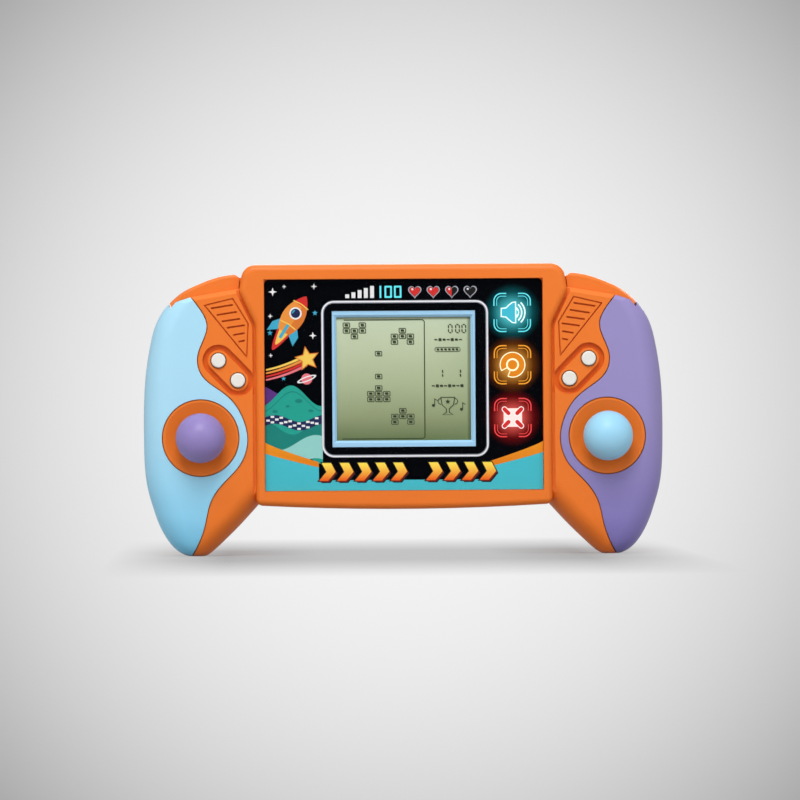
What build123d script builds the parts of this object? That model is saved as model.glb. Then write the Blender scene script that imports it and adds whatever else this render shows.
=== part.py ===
from build123d import *
from math import radians, sin
import os

os.makedirs("parts", exist_ok=True)

# Handheld game console. Millimetres, X to the right, Z up, and the screen faces -Y.
# It stands on the tips of its two grips. Depths are counted from the seam between
# the two shells: a positive depth is towards the player, a negative one towards the back.

# Whole object
half_width = 90.2
overall_height = 100.8
overrun = 40.0

# Casing
centre_front = 13.0
centre_back = 13.5
centre_front_radius = 2.2
centre_back_radius = 3.0
wing_front = 11.5
wing_back = 15.0
wing_edge_radius = 9.0
wall = 2.0
wing_wall = 3.2
seam_gap = 0.3
running_gap = 0.3
shaft_clearance = 0.05
face_gap = 0.1

# Grip panels
panel_thickness = 1.5
panel_seat_gap = 0.1
panel_line_gap = 0.35

# Thumbsticks
disc_radius = 13.1
dish_radius = 12.5
dish_depth = 2.2
stick_hole_radius = 5.5
cap_radius = 8.6
cap_front = 24.5
cap_widest = 16.3
cap_rim_depth = 14.3
cap_rim_radius = 7.8
cap_neck_depth = 12.2
cap_neck_radius = 3.8
cap_socket_depth = 17.5
shaft_radius = 2.2
pivot_depth = 3.8
base_size = 16.0
base_opening = 12.6
base_height = 6.5
ring_size = 11.4
ring_opening = 7.4
ring_height = 3.0
block_size = 5.6
gimbal_pin_radius = 0.8

# Push buttons
button_radius = 2.5
button_proud = 1.1
button_travel = 1.2
button_edge_radius = 0.5
flange_radius = 3.6
flange_thickness = 1.15
stem_radius = 1.5
groove_outer_radius = 5.5
groove_width = 1.9
groove_depth = 1.5

# Rubber mats under the push buttons
mat_size = 16.0
mat_thickness = 1.2
mat_dome_radius = 3.0
mat_dome_height = 2.8

# Engraved triangle
engraving_width = 0.45
engraving_depth = 0.8
slot_width = 0.6
slot_depth = 1.2

# Shoulder buttons
shoulder_front = 8.9
shoulder_back = 9.0
shoulder_edge_radius = 1.1
shoulder_wall = 1.8
shoulder_gap = 0.35
shoulder_travel_degrees = 4.0
shoulder_pin_radius = 1.0
shoulder_barrel_radius = 2.0
shoulder_pin_seat = 1.0
shoulder_bevel = 1.5
shoulder_rib_width = 2.0
lip_width = 4.4
lip_height = 9.0
lip_thickness = 1.5
switch_width = 6.4
switch_height = 4.0
switch_depth = 4.5
plunger_radius = 1.2
plunger_height = 1.2

# Valley between the raised centre and the wings
valley_width = 1.0
valley_depth = 1.2

# Printed panel, clear sheet and display
panel_width = 96.3
panel_height = 73.1
panel_corner_radius = 1.6
recess_depth = 1.8
recess_gap = 0.15
sheet_thickness = 1.2
print_thickness = 0.3
window_width = 49.6
window_height = 47.1
bezel_rim = 1.6
bezel_thickness = 1.2
view_width = 46.5
view_height = 42.7
glass_thickness = 2.2
glass_margin = 2.0
bezel_bevel = 0.8
backing_thickness = 0.8
backing_drop = 5.0
zebra_width = 2.2

# Circuit boards
board_thickness = 1.6
main_board_front = 6.8
main_board_margin = 3.25
chip_radius = 7.0
chip_height = 1.6

# Screws
screw_shank_radius = 1.25
screw_head_radius = 2.6
screw_head_height = 1.8
post_radius = 3.0
back_post_radius = 4.2
head_seat_depth = 6.5
case_screw_reach = 6.0
board_screw_head_radius = 2.2
board_screw_head_height = 1.3
board_screw_shank_radius = 1.0
board_screw_reach = 3.0

# Battery bay, cells and door
cell_radius = 7.25
cell_length = 49.5
cell_nub_radius = 2.6
cell_nub_length = 1.0
cell_gap = 0.4
bay_length = 55.6
bay_wall = 1.5
door_thickness = 1.8
door_margin = 3.6
door_back_gap = 0.25
cell_door_gap = 0.3
door_gap = 0.25
door_open_degrees = 60.0
ledge_thickness = 1.0
door_tab_width = 6.0
door_tab_spacing = 36.0
door_tab_rise = 1.8
door_tab_thickness = 1.0
door_latch_width = 14.0
door_latch_drop = 2.4
door_rib_spacing = 2.6
door_rib_count = 5
door_rib_width = 22.0
door_rib_thickness = 1.0
door_rib_proud = 0.5
door_latch_gap = 0.4
contact_thickness = 0.4
contact_height = 10.0
contact_length = 12.0
spring_wire_radius = 0.35
spring_turns = 3
spring_base_radius = 3.4
spring_gap = 0.05

# Speaker
speaker_radius = 9.8
speaker_flange = 1.5
speaker_magnet_radius = 6.0
speaker_depth = 5.0
speaker_hole_radius = 0.9
speaker_ring_radii = (3.2, 6.4)
speaker_ring_counts = (6, 12)
speaker_collar = 1.2

seam_y = (cap_front - wing_back) / 2

# Wing sections from the grip's tip upwards: height as a share of overall_height, inner
# and outer edge of half_width, front and back of wing_front and wing_back, corner radius
# of wing_edge_radius.
wing_section_shares = (
    (0.000, 0.768, 0.824, 0.435, 0.367, 0.26),
    (0.008, 0.749, 0.853, 0.626, 0.520, 0.50),
    (0.022, 0.729, 0.877, 0.757, 0.627, 0.70),
    (0.050, 0.695, 0.906, 0.870, 0.733, 0.88),
    (0.090, 0.649, 0.933, 0.945, 0.827, 1.00),
    (0.140, 0.596, 0.956, 0.980, 0.900, 1.04),
    (0.200, 0.535, 0.977, 0.995, 0.950, 1.06),
    (0.270, 0.477, 0.993, 1.000, 0.980, 1.05),
    (0.350, 0.438, 0.999, 1.000, 1.000, 1.03),
    (0.440, 0.416, 1.000, 1.000, 1.000, 1.00),
    (0.540, 0.405, 0.998, 1.000, 0.990, 0.97),
    (0.640, 0.400, 0.989, 1.000, 0.960, 0.94),
    (0.740, 0.400, 0.970, 1.000, 0.900, 0.90),
    (0.810, 0.400, 0.945, 1.000, 0.850, 0.86),
    (0.860, 0.400, 0.909, 1.000, 0.810, 0.82),
    (0.905, 0.400, 0.855, 1.000, 0.775, 0.78),
    (0.955, 0.400, 0.768, 1.000, 0.740, 0.75),
    (1.000, 0.400, 0.660, 1.000, 0.710, 0.72),
)
# Below this share of the height an inset form is also lifted off the tip
tip_share = 0.15
cavity_floor_share = 0.08

# Front outlines, as shares of half_width and overall_height
centre_corner_shares = ((0.613, 1.0), (0.631, 0.908), (0.5688, 0.792), (0.5688, 0.174))
centre_corner_radii = (5.0, 3.0, 6.0, 2.4)
centre_bottom_share = 0.1587
wing_top_shares = ((0.450, 0.946), (0.8115, 0.892), (0.909, 0.863))
split_curve_shares = (
    (0.838, 0.920), (0.775, 0.846), (0.7515, 0.793), (0.768, 0.738), (0.789, 0.680),
    (0.774, 0.625), (0.712, 0.576), (0.660, 0.538), (0.610, 0.460), (0.598, 0.400),
    (0.628, 0.313), (0.694, 0.248), (0.742, 0.183), (0.764, 0.103), (0.789, 0.042),
    (0.842, -0.030),
)
shoulder_top_shares = ((0.645, 0.9675), (0.720, 0.9565), (0.790, 0.9330), (0.855, 0.9040), (0.898, 0.8720))
shoulder_end_share = (0.890, 0.8580)
shoulder_foot_shares = ((0.809, 0.8580), (0.6375, 0.8790))
shoulder_head_share = (0.6275, 0.9560)
triangle_shares = ((0.762, 0.862), (0.655, 0.885), (0.596, 0.799), (0.602, 0.684))
slot_end_shares = (
    ((0.735, 0.852), (0.657, 0.863)),
    ((0.713, 0.829), (0.642, 0.839)),
    ((0.694, 0.807), (0.629, 0.815)),
    ((0.674, 0.785), (0.611, 0.793)),
    ((0.651, 0.760), (0.612, 0.766)),
    ((0.630, 0.737), (0.612, 0.740)),
)
grip_board_shares = (
    (0.580, 0.833), (0.812, 0.833), (0.812, 0.548), (0.885, 0.548),
    (0.885, 0.262), (0.645, 0.262), (0.645, 0.548), (0.580, 0.548),
)
case_screw_shares = (
    (0.504, 0.938), (0.504, 0.225), (0.865, 0.620), (0.808, 0.148),
)
main_board_screw_shares = ((0.427, 0.270), (0.427, 0.900))
stick_share = (0.7805, 0.4067)
upper_button_share = (0.7106, 0.6726)
lower_button_share = (0.6364, 0.6042)
shoulder_pin_share = (0.6674, 0.8958)
shoulder_switch_share = (0.7705, 0.8135)
lip_share = (0.6325, 0.9160)
panel_centre_share = (0, 0.5858)
window_centre_share = (0, 0.6062)
chip_share = (0, 0.3472)
bay_centre_share = (0, 0.6250)
speaker_share = (0, 0.2937)
grip_board_screw_shares = ((0.670, 0.285), (0.862, 0.518), (0.620, 0.800))


def level(depth):
    """Sketch plane that faces the player, at a depth from the seam."""
    return Plane(origin=(0, seam_y - depth, 0), x_dir=(1, 0, 0), z_dir=(0, -1, 0))


def spot(share):
    """Point in the front view from shares of the half width and the height."""
    return share[0] * half_width, share[1] * overall_height


def spots(shares):
    return [spot(share) for share in shares]


def keep(piece, name):
    """Label a finished piece and write it to its own file."""
    piece.part.label = name
    export_step(piece.part, f"parts/{name}.step")


def twin(piece):
    """Mirror image of a right-hand piece."""
    with BuildPart() as copy:
        mirror(piece.part, about=Plane.YZ)
    return copy


def keep_pair(piece, name):
    keep(piece, f"right_{name}")
    keep(twin(piece), f"left_{name}")


def wing_form(inset=0.0, floor_share=0.0):
    """Right wing and grip as one smooth solid, drawn in by inset on every side."""
    with BuildPart() as form:
        for height, inner, outer, front, back, rounding in wing_section_shares:
            if height < floor_share:
                continue
            lift = inset * max(0, 1 - height / tip_share)
            low_x = inner * half_width + inset
            high_x = outer * half_width - inset
            front_y = seam_y - front * wing_front + inset
            back_y = seam_y + back * wing_back - inset
            radius = rounding * wing_edge_radius - inset
            with BuildSketch(Plane.XY.offset(height * overall_height + lift)):
                with Locations(((low_x + high_x) / 2, (front_y + back_y) / 2)):
                    RectangleRounded(high_x - low_x, back_y - front_y, radius)
        loft()
    return form


def centre_outline(depth, margin=0.0):
    """Front outline of the raised centre body, grown or shrunk by margin."""
    corners = spots(centre_corner_shares)
    low_corner = corners[-1]
    with BuildSketch(level(depth)) as outline:
        with BuildLine():
            Polyline((0, overall_height), *corners)
            ThreePointArc(low_corner, (0, centre_bottom_share * overall_height), (-low_corner[0], low_corner[1]))
            Polyline((0, overall_height), *[(-x, z) for x, z in corners])
        make_face()
        for (x, z), radius in zip(corners, centre_corner_radii):
            fillet([v for v in outline.vertices() if abs(abs(v.X) - x) + abs(v.Y - z) < face_gap], radius=radius)
        if margin:
            offset(amount=margin, kind=Kind.INTERSECTION)
    return outline


def cut_top(drop=0.0):
    """Cut a wing off along the line under its shoulder button, lowered by drop."""
    for start, end in zip(wing_top, wing_top[1:]):
        along = Vector(end[0] - start[0], 0, end[1] - start[1]).normalized()
        upward = along.cross(Vector(0, 1, 0))
        edge = Vector(start[0], 0, start[1]) - upward * drop
        split(bisect_by=Plane(origin=edge, z_dir=upward), keep=Keep.BOTTOM)


def bevel_top():
    """Bevel the front edge that cut_top leaves."""
    for start, end in zip(wing_top, wing_top[1:]):
        along = Vector(end[0] - start[0], 0, end[1] - start[1]).normalized()
        upward = along.cross(Vector(0, 1, 0))
        edge = Vector(start[0], seam_y - wing_front + shoulder_bevel, start[1])
        split(bisect_by=Plane(origin=edge, z_dir=upward + Vector(0, -1, 0)), keep=Keep.BOTTOM)


def shoulder_outline(depth):
    """Front outline of a right shoulder button."""
    top = spots(shoulder_top_shares)
    with BuildSketch(level(depth)) as outline:
        with BuildLine():
            Spline(*top)
            Polyline(top[-1], spot(shoulder_end_share), *spots(shoulder_foot_shares), spot(shoulder_head_share), top[0])
        make_face()
    return outline


def shoulder_space(depth):
    """Front outline of the room round a right shoulder button, open above."""
    end, head = spot(shoulder_top_shares[-1]), spot(shoulder_head_share)
    ceiling = overall_height + overrun
    with BuildSketch(level(depth)) as outline:
        with BuildLine():
            Polyline((end[0], ceiling), end, spot(shoulder_end_share), *spots(shoulder_foot_shares),
                     head, (head[0], ceiling), close=True)
        make_face()
        offset(amount=shoulder_gap, kind=Kind.INTERSECTION)
    return outline


def moved(points, distance):
    """Points of a downward curve moved sideways, away from the middle."""
    result = []
    for before, point, after in zip(points[:1] + points, points, points[1:] + points[-1:]):
        along = Vector(after[0] - before[0], after[1] - before[1]).normalized()
        result.append((point[0] - along.Y * distance, point[1] + along.X * distance))
    return result


def grip_region(margin=0.0):
    """Front view of a right grip panel, shrunk by margin, with the hole round the stick's disc."""
    curve = moved(spots(split_curve_shares), margin)
    far_x = half_width + overrun
    with BuildSketch(level(0)) as region:
        with BuildLine():
            Spline(*curve)
            Polyline(curve[-1], (far_x, curve[-1][1]), (far_x, curve[0][1]), curve[0])
        make_face()
        with Locations(spot(stick_share)):
            Circle(disc_radius + margin, mode=Mode.SUBTRACT)
    return region


def stroke(start, end, width):
    """Round-ended bar between two points of the front view."""
    middle = ((start[0] + end[0]) / 2, (start[1] + end[1]) / 2)
    SlotCenterPoint(middle, end, width)


def bar(places, radius, low, high, mode=Mode.ADD):
    """Round bars along the depth, from low to high, at places of the front view."""
    with BuildSketch(level(low)) as section:
        with Locations(*places):
            Circle(radius)
    extrude(section.sketch, amount=high - low, mode=mode)


def block(centre, width, height, low, high, mode=Mode.ADD):
    """Rectangular block along the depth, from low to high, centred on a place of the front view."""
    with BuildSketch(level(low)) as section:
        with Locations(centre):
            Rectangle(width, height)
    extrude(section.sketch, amount=high - low, mode=mode)


def both_sides(places):
    return list(places) + [(-x, z) for x, z in places]


# Places that several pieces share
wing_top = spots(wing_top_shares)
stick = spot(stick_share)
upper_button = spot(upper_button_share)
lower_button = spot(lower_button_share)
shoulder_pin = spot(shoulder_pin_share)
shoulder_rib_x, switch_foot_z = spot(shoulder_switch_share)
switch_foot_z -= switch_height / 2
case_screws_at = spots(case_screw_shares)
main_board_screws_at = spots(main_board_screw_shares)
grip_board_screws_at = spots(grip_board_screw_shares)
push_buttons_at = (upper_button, lower_button)
wing_inner_front = wing_front - wing_wall
centre_inner_front = centre_front - recess_depth - wall
centre_inner_back = wall - centre_back
panel_back = centre_front - recess_depth
main_board_back = main_board_front - board_thickness
bay_height = 4 * cell_radius + 3 * cell_gap
bay_back = door_thickness + door_back_gap - centre_back
cell_depth = door_thickness + cell_door_gap + cell_radius - centre_back
bay_front = cell_depth + cell_radius + face_gap
door_width = bay_length + 2 * door_margin
door_height = bay_height + 2 * door_margin
bay_centre = spot(bay_centre_share)
door_top = bay_centre[1] + door_height / 2
door_bottom = bay_centre[1] - door_height / 2
window_centre = spot(window_centre_share)
panel_centre = spot(panel_centre_share)
speaker = spot(speaker_share)
chip = spot(chip_share)

# Outer form of a wing
with BuildPart() as wing:
    add(wing_form().part)
    cut_top()
    bevel_top()

# The raised centre body
with BuildPart() as centre:
    extrude(centre_outline(-centre_back).sketch, amount=centre_back + centre_front)
    fillet(centre.faces().sort_by(Axis.Y)[0].edges(), radius=centre_front_radius)
    fillet(centre.faces().sort_by(Axis.Y)[-1].edges(), radius=centre_back_radius)

# Room for a shoulder button, at rest and pressed
pin_axis = Axis((shoulder_pin[0], 0, shoulder_pin[1]), (0, 1, 0))
with BuildPart() as rest_room:
    extrude(shoulder_space(-shoulder_back - shoulder_gap).sketch,
            amount=shoulder_back + shoulder_front + 2 * shoulder_gap)
shoulder_rooms = (rest_room.part, rest_room.part.rotate(pin_axis, shoulder_travel_degrees))

# Grip panels: a skin over the wing, on the player's side of the seam
with BuildPart() as grip_panel:
    extrude(grip_region(panel_line_gap).sketch, amount=overrun)
    add(wing.part, mode=Mode.INTERSECT)
    add(wing_form(panel_thickness).part, mode=Mode.SUBTRACT)
    for room in shoulder_rooms:
        add(room, mode=Mode.SUBTRACT)
keep_pair(grip_panel, "grip_panel")

# What a grip panel takes off the wing under it
with BuildPart() as panel_seat:
    extrude(grip_region().sketch, amount=overrun)
    add(wing_form(panel_thickness + panel_seat_gap).part, mode=Mode.SUBTRACT)

# Inside of the casing
with BuildPart() as wing_hollow:
    add(wing_form(wing_wall, cavity_floor_share).part)
    cut_top(wall)
with BuildPart() as hollow:
    extrude(centre_outline(centre_inner_back, -wall).sketch, amount=centre_inner_front - centre_inner_back)
    add(wing_hollow.part)
    mirror(wing_hollow.part, about=Plane.YZ)

# One wing with the valley cut beside the centre body
with BuildPart() as casing_wing:
    add(wing.part)
    extrude(centre_outline(wing_front - valley_depth, valley_width).sketch, amount=overrun, mode=Mode.SUBTRACT)
    for room in shoulder_rooms:
        add(room, mode=Mode.SUBTRACT)

# The whole casing before it is cut into two shells
with BuildPart() as casing:
    add(casing_wing.part)
    mirror(casing_wing.part, about=Plane.YZ)
    add(centre.part)
    add(hollow.part, mode=Mode.SUBTRACT)

# Engraved triangle with its sloping slots, and the groove round the two push buttons
with BuildPart() as engraving:
    with BuildSketch(level(wing_front - engraving_depth)) as triangle:
        corners = spots(triangle_shares)
        for start, end in zip(corners, corners[1:] + corners[:1]):
            stroke(start, end, engraving_width)
    extrude(triangle.sketch, amount=overrun)
    with BuildSketch(level(wing_front - slot_depth)) as slots:
        for ends in slot_end_shares:
            stroke(*spots(ends), slot_width)
    extrude(slots.sketch, amount=overrun)
    with BuildSketch(level(wing_front - groove_depth)) as groove:
        stroke(*push_buttons_at, 2 * groove_outer_radius)
        middle = [(a + b) / 2 for a, b in zip(*push_buttons_at)]
        SlotCenterPoint(middle, upper_button, 2 * (groove_outer_radius - groove_width), mode=Mode.SUBTRACT)
    extrude(groove.sketch, amount=overrun)

# What is cut from the right half of the front shell
dish_sphere = (dish_radius ** 2 + dish_depth ** 2) / (2 * dish_depth)
with BuildPart() as front_cuts:
    add(panel_seat.part)
    add(engraving.part)
    with Locations((stick[0], seam_y - wing_front + dish_depth - dish_sphere, stick[1])):
        Sphere(dish_sphere)
    bar([stick], stick_hole_radius, 0, overrun)
    bar(push_buttons_at, button_radius + running_gap, 0, overrun)

with BuildPart() as front_posts:
    bar(case_screws_at, post_radius, 0, centre_inner_front + running_gap)
    bar(main_board_screws_at, post_radius, main_board_front, centre_inner_front + running_gap)
    bar(grip_board_screws_at, post_radius, 0, wing_inner_front + running_gap)

with BuildPart() as front_shell:
    add(casing.part)
    split(bisect_by=level(0), keep=Keep.TOP)
    add(front_posts.part)
    mirror(front_posts.part, about=Plane.YZ)
    add(front_cuts.part, mode=Mode.SUBTRACT)
    mirror(front_cuts.part, about=Plane.YZ, mode=Mode.SUBTRACT)
    block(panel_centre, panel_width + 2 * recess_gap, panel_height + 2 * recess_gap,
          panel_back, overrun, Mode.SUBTRACT)
    block(window_centre, window_width + 2 * bezel_rim + 2 * recess_gap, window_height + 2 * bezel_rim + 2 * recess_gap,
          0, overrun, Mode.SUBTRACT)
    bar(both_sides(case_screws_at), screw_shank_radius + shaft_clearance, 0, case_screw_reach + running_gap,
        Mode.SUBTRACT)
    bar(both_sides(main_board_screws_at), board_screw_shank_radius + shaft_clearance, 0,
        main_board_front + board_screw_reach + running_gap, Mode.SUBTRACT)
    bar(both_sides(grip_board_screws_at), board_screw_shank_radius + shaft_clearance, 0,
        board_screw_reach + running_gap, Mode.SUBTRACT)
    bar(both_sides([shoulder_pin]), shoulder_pin_radius + shaft_clearance, 0,
        shoulder_front + shoulder_gap + shoulder_pin_seat, Mode.SUBTRACT)
keep(front_shell, "front_shell")

# Back shell with its screw posts, battery bay, door seat, speaker grille and a lip that closes
# the slit beside each shoulder button
with BuildPart() as back_shell:
    add(casing.part)
    split(bisect_by=level(-seam_gap), keep=Keep.BOTTOM)
    bar(both_sides(case_screws_at), back_post_radius, centre_inner_back - running_gap, 0)
    block(bay_centre, bay_length + 2 * bay_wall, bay_height + 2 * bay_wall,
          centre_inner_back - running_gap, bay_front + bay_wall)
    block(bay_centre, door_width + 2 * door_margin, door_height + 2 * door_margin,
          centre_inner_back - running_gap, bay_back + ledge_thickness)
    for side in (-1, 1):
        lip_x, lip_z = spot(lip_share)
        block((side * lip_x, lip_z), lip_width, lip_height, -shoulder_back - shoulder_gap - lip_thickness,
              -shoulder_back - shoulder_gap)
    bar([speaker], speaker_radius + running_gap + speaker_collar, centre_inner_back - running_gap,
        centre_inner_back + 2 * speaker_flange)
    bar([speaker], speaker_radius + running_gap, centre_inner_back, overrun, Mode.SUBTRACT)
    block(bay_centre, bay_length, bay_height, -overrun, bay_front, Mode.SUBTRACT)
    block(bay_centre, door_width, door_height, -overrun, bay_back, Mode.SUBTRACT)
    for side in (-1, 1):
        block((side * door_tab_spacing / 2, door_top + (door_tab_rise - door_margin) / 2),
              door_tab_width + 2 * running_gap, door_tab_rise + door_margin + 2 * face_gap,
              centre_inner_back, bay_back + 2 * ledge_thickness, Mode.SUBTRACT)
    block((0, door_bottom), door_latch_width + 2 * door_latch_gap, 2 * (door_latch_drop + door_latch_gap),
          -overrun, bay_back, Mode.SUBTRACT)
    bar([speaker], speaker_hole_radius, -overrun, centre_inner_back, Mode.SUBTRACT)
    for radius, count in zip(speaker_ring_radii, speaker_ring_counts):
        with BuildSketch(level(-centre_back - overrun)) as ring:
            with Locations(speaker):
                with PolarLocations(radius, count):
                    Circle(speaker_hole_radius)
        extrude(ring.sketch, amount=overrun + wall, mode=Mode.SUBTRACT)
    bar(both_sides(case_screws_at), screw_head_radius + running_gap, -overrun, -head_seat_depth, Mode.SUBTRACT)
    bar(both_sides(case_screws_at), screw_shank_radius + running_gap, -overrun, 0, Mode.SUBTRACT)
    bar(both_sides([shoulder_pin]), shoulder_pin_radius + shaft_clearance,
        -shoulder_back - shoulder_gap - shoulder_pin_seat, 0, Mode.SUBTRACT)
keep(back_shell, "back_shell")

# Clear sheet and the printed film behind it, with a window over the display
with BuildPart() as screen_sheet:
    with BuildSketch(level(panel_back + print_thickness)) as sheet_face:
        with Locations(panel_centre):
            RectangleRounded(panel_width, panel_height, panel_corner_radius)
    extrude(sheet_face.sketch, amount=sheet_thickness)
keep(screen_sheet, "screen_sheet")

with BuildPart() as printed_panel:
    with BuildSketch(level(panel_back)) as film_face:
        with Locations(panel_centre):
            RectangleRounded(panel_width, panel_height, panel_corner_radius)
        with Locations(window_centre):
            Rectangle(window_width, window_height, mode=Mode.SUBTRACT)
    extrude(film_face.sketch, amount=print_thickness)
keep(printed_panel, "printed_panel")

# Display stack: bezel, glass, backing and the rubber strip that joins the glass to the board
bezel_back = panel_back - bezel_thickness
with BuildPart() as lcd_bezel:
    with BuildSketch(level(bezel_back)) as bezel_face:
        with Locations(window_centre):
            Rectangle(window_width + 2 * bezel_rim, window_height + 2 * bezel_rim)
            Rectangle(view_width, view_height, mode=Mode.SUBTRACT)
    extrude(bezel_face.sketch, amount=bezel_thickness)
    inner_rim = lcd_bezel.faces().sort_by(Axis.Y)[0].inner_wires()[0].edges()
    chamfer(inner_rim, length=bezel_bevel)
keep(lcd_bezel, "lcd_bezel")

glass_width = view_width + 2 * glass_margin
glass_height = view_height + 2 * glass_margin
glass_back = bezel_back - glass_thickness
with BuildPart() as lcd_glass:
    block(window_centre, glass_width, glass_height, glass_back, bezel_back)
keep(lcd_glass, "lcd_glass")

with BuildPart() as lcd_backing:
    block((0, window_centre[1] + backing_drop / 2), glass_width, glass_height - backing_drop,
          glass_back - backing_thickness, glass_back)
keep(lcd_backing, "lcd_backing")

with BuildPart() as zebra_strip:
    block((0, window_centre[1] - glass_height / 2 + zebra_width), glass_width - zebra_width, zebra_width,
          main_board_front, glass_back)
keep(zebra_strip, "zebra_strip")

# Main board with the bonded chip's cover on its back
low_screw, high_screw = main_board_screws_at
with BuildPart() as main_board:
    block((0, (low_screw[1] + high_screw[1]) / 2), low_screw[0] + high_screw[0] + 2 * main_board_margin,
          high_screw[1] - low_screw[1] + 2 * main_board_margin, main_board_back, main_board_front)
    bar(both_sides(main_board_screws_at), board_screw_shank_radius + shaft_clearance, 0, overrun, Mode.SUBTRACT)
keep(main_board, "main_board")

with BuildPart() as chip_cover:
    bar([chip], chip_radius, main_board_back - chip_height, main_board_back)
    fillet(chip_cover.edges().sort_by(Axis.Y)[-1], radius=chip_height / 2)
keep(chip_cover, "chip_cover")

# Grip boards
with BuildPart() as grip_board:
    with BuildSketch(level(-board_thickness)) as board_face:
        with BuildLine():
            Polyline(*spots(grip_board_shares), close=True)
        make_face()
        with Locations(*grip_board_screws_at):
            Circle(board_screw_shank_radius + shaft_clearance, mode=Mode.SUBTRACT)
    extrude(board_face.sketch, amount=board_thickness)
keep_pair(grip_board, "grip_board")

# Rubber mats with a dome under each push button
mat_centre = tuple((a + b) / 2 for a, b in zip(*push_buttons_at))
with BuildPart() as key_mat:
    block(mat_centre, mat_size, mat_size, 0, mat_thickness)
    bar(push_buttons_at, mat_dome_radius, 0, mat_dome_height)
keep_pair(key_mat, "key_mat")

# Push buttons
flange_front = wing_inner_front - face_gap
for place, name in ((upper_button, "upper_button"), (lower_button, "lower_button")):
    with BuildPart() as push_button:
        bar([place], stem_radius, mat_dome_height + button_travel + face_gap, flange_front)
        bar([place], flange_radius, flange_front - flange_thickness, flange_front)
        bar([place], button_radius, flange_front, wing_front + button_proud)
        fillet(push_button.edges().sort_by(Axis.Y)[0], radius=button_edge_radius)
    keep_pair(push_button, name)

# Thumbsticks: a fixed frame, a ring that tilts up and down in it, and a stem that tilts
# left and right in the ring and carries the cap
pivot = Vector(stick[0], seam_y - pivot_depth, stick[1])
with BuildPart() as stick_base:
    block(stick, base_size, base_size, 0, base_height)
    block(stick, base_opening, base_opening, 0, base_height, Mode.SUBTRACT)
    with BuildSketch(Plane(origin=pivot, z_dir=(1, 0, 0))) as pivot_hole:
        Circle(gimbal_pin_radius + shaft_clearance)
    extrude(pivot_hole.sketch, amount=base_size, mode=Mode.SUBTRACT)
    extrude(pivot_hole.sketch, amount=-base_size, mode=Mode.SUBTRACT)
keep_pair(stick_base, "stick_base")

ring_back = pivot_depth - ring_height / 2
ring_front = pivot_depth + ring_height / 2
with BuildPart() as gimbal_ring:
    block(stick, ring_size, ring_size, ring_back, ring_front)
    with BuildSketch(Plane(origin=pivot, z_dir=(1, 0, 0))) as ring_pin:
        Circle(gimbal_pin_radius)
    extrude(ring_pin.sketch, amount=base_size / 2)
    extrude(ring_pin.sketch, amount=-base_size / 2)
    block(stick, ring_opening, ring_opening, ring_back, ring_front, Mode.SUBTRACT)
    with BuildSketch(Plane(origin=pivot, z_dir=(0, 0, 1))) as ring_hole:
        Circle(gimbal_pin_radius + shaft_clearance)
    extrude(ring_hole.sketch, amount=base_size, mode=Mode.SUBTRACT)
    extrude(ring_hole.sketch, amount=-base_size, mode=Mode.SUBTRACT)
keep_pair(gimbal_ring, "gimbal_ring")

with BuildPart() as stick_stem:
    block(stick, block_size, block_size, ring_back, ring_front)
    bar([stick], shaft_radius, pivot_depth, cap_socket_depth - running_gap)
    with BuildSketch(Plane(origin=pivot, z_dir=(0, 0, 1))) as stem_pin:
        Circle(gimbal_pin_radius)
    extrude(stem_pin.sketch, amount=ring_size / 2)
    extrude(stem_pin.sketch, amount=-ring_size / 2)
keep_pair(stick_stem, "stick_stem")

with BuildPart() as stick_cap:
    with BuildSketch(Plane(origin=(stick[0], seam_y, stick[1]), x_dir=(1, 0, 0), z_dir=(0, 0, 1))) as cap_section:
        with BuildLine():
            Polyline((0, -cap_front), (0, -cap_neck_depth), (cap_neck_radius, -cap_neck_depth),
                     (cap_rim_radius, -cap_rim_depth))
            TangentArc((cap_radius, -cap_widest), (cap_rim_radius, -cap_rim_depth), tangent=(0, 1))
            EllipticalCenterArc((0, -cap_widest), cap_radius, cap_front - cap_widest, start_angle=270, arc_size=90)
        make_face()
    revolve(axis=Axis((stick[0], seam_y, stick[1]), (0, 1, 0)))
    bar([stick], shaft_radius + shaft_clearance, 0, cap_socket_depth, Mode.SUBTRACT)
keep_pair(stick_cap, "stick_cap")

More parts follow.
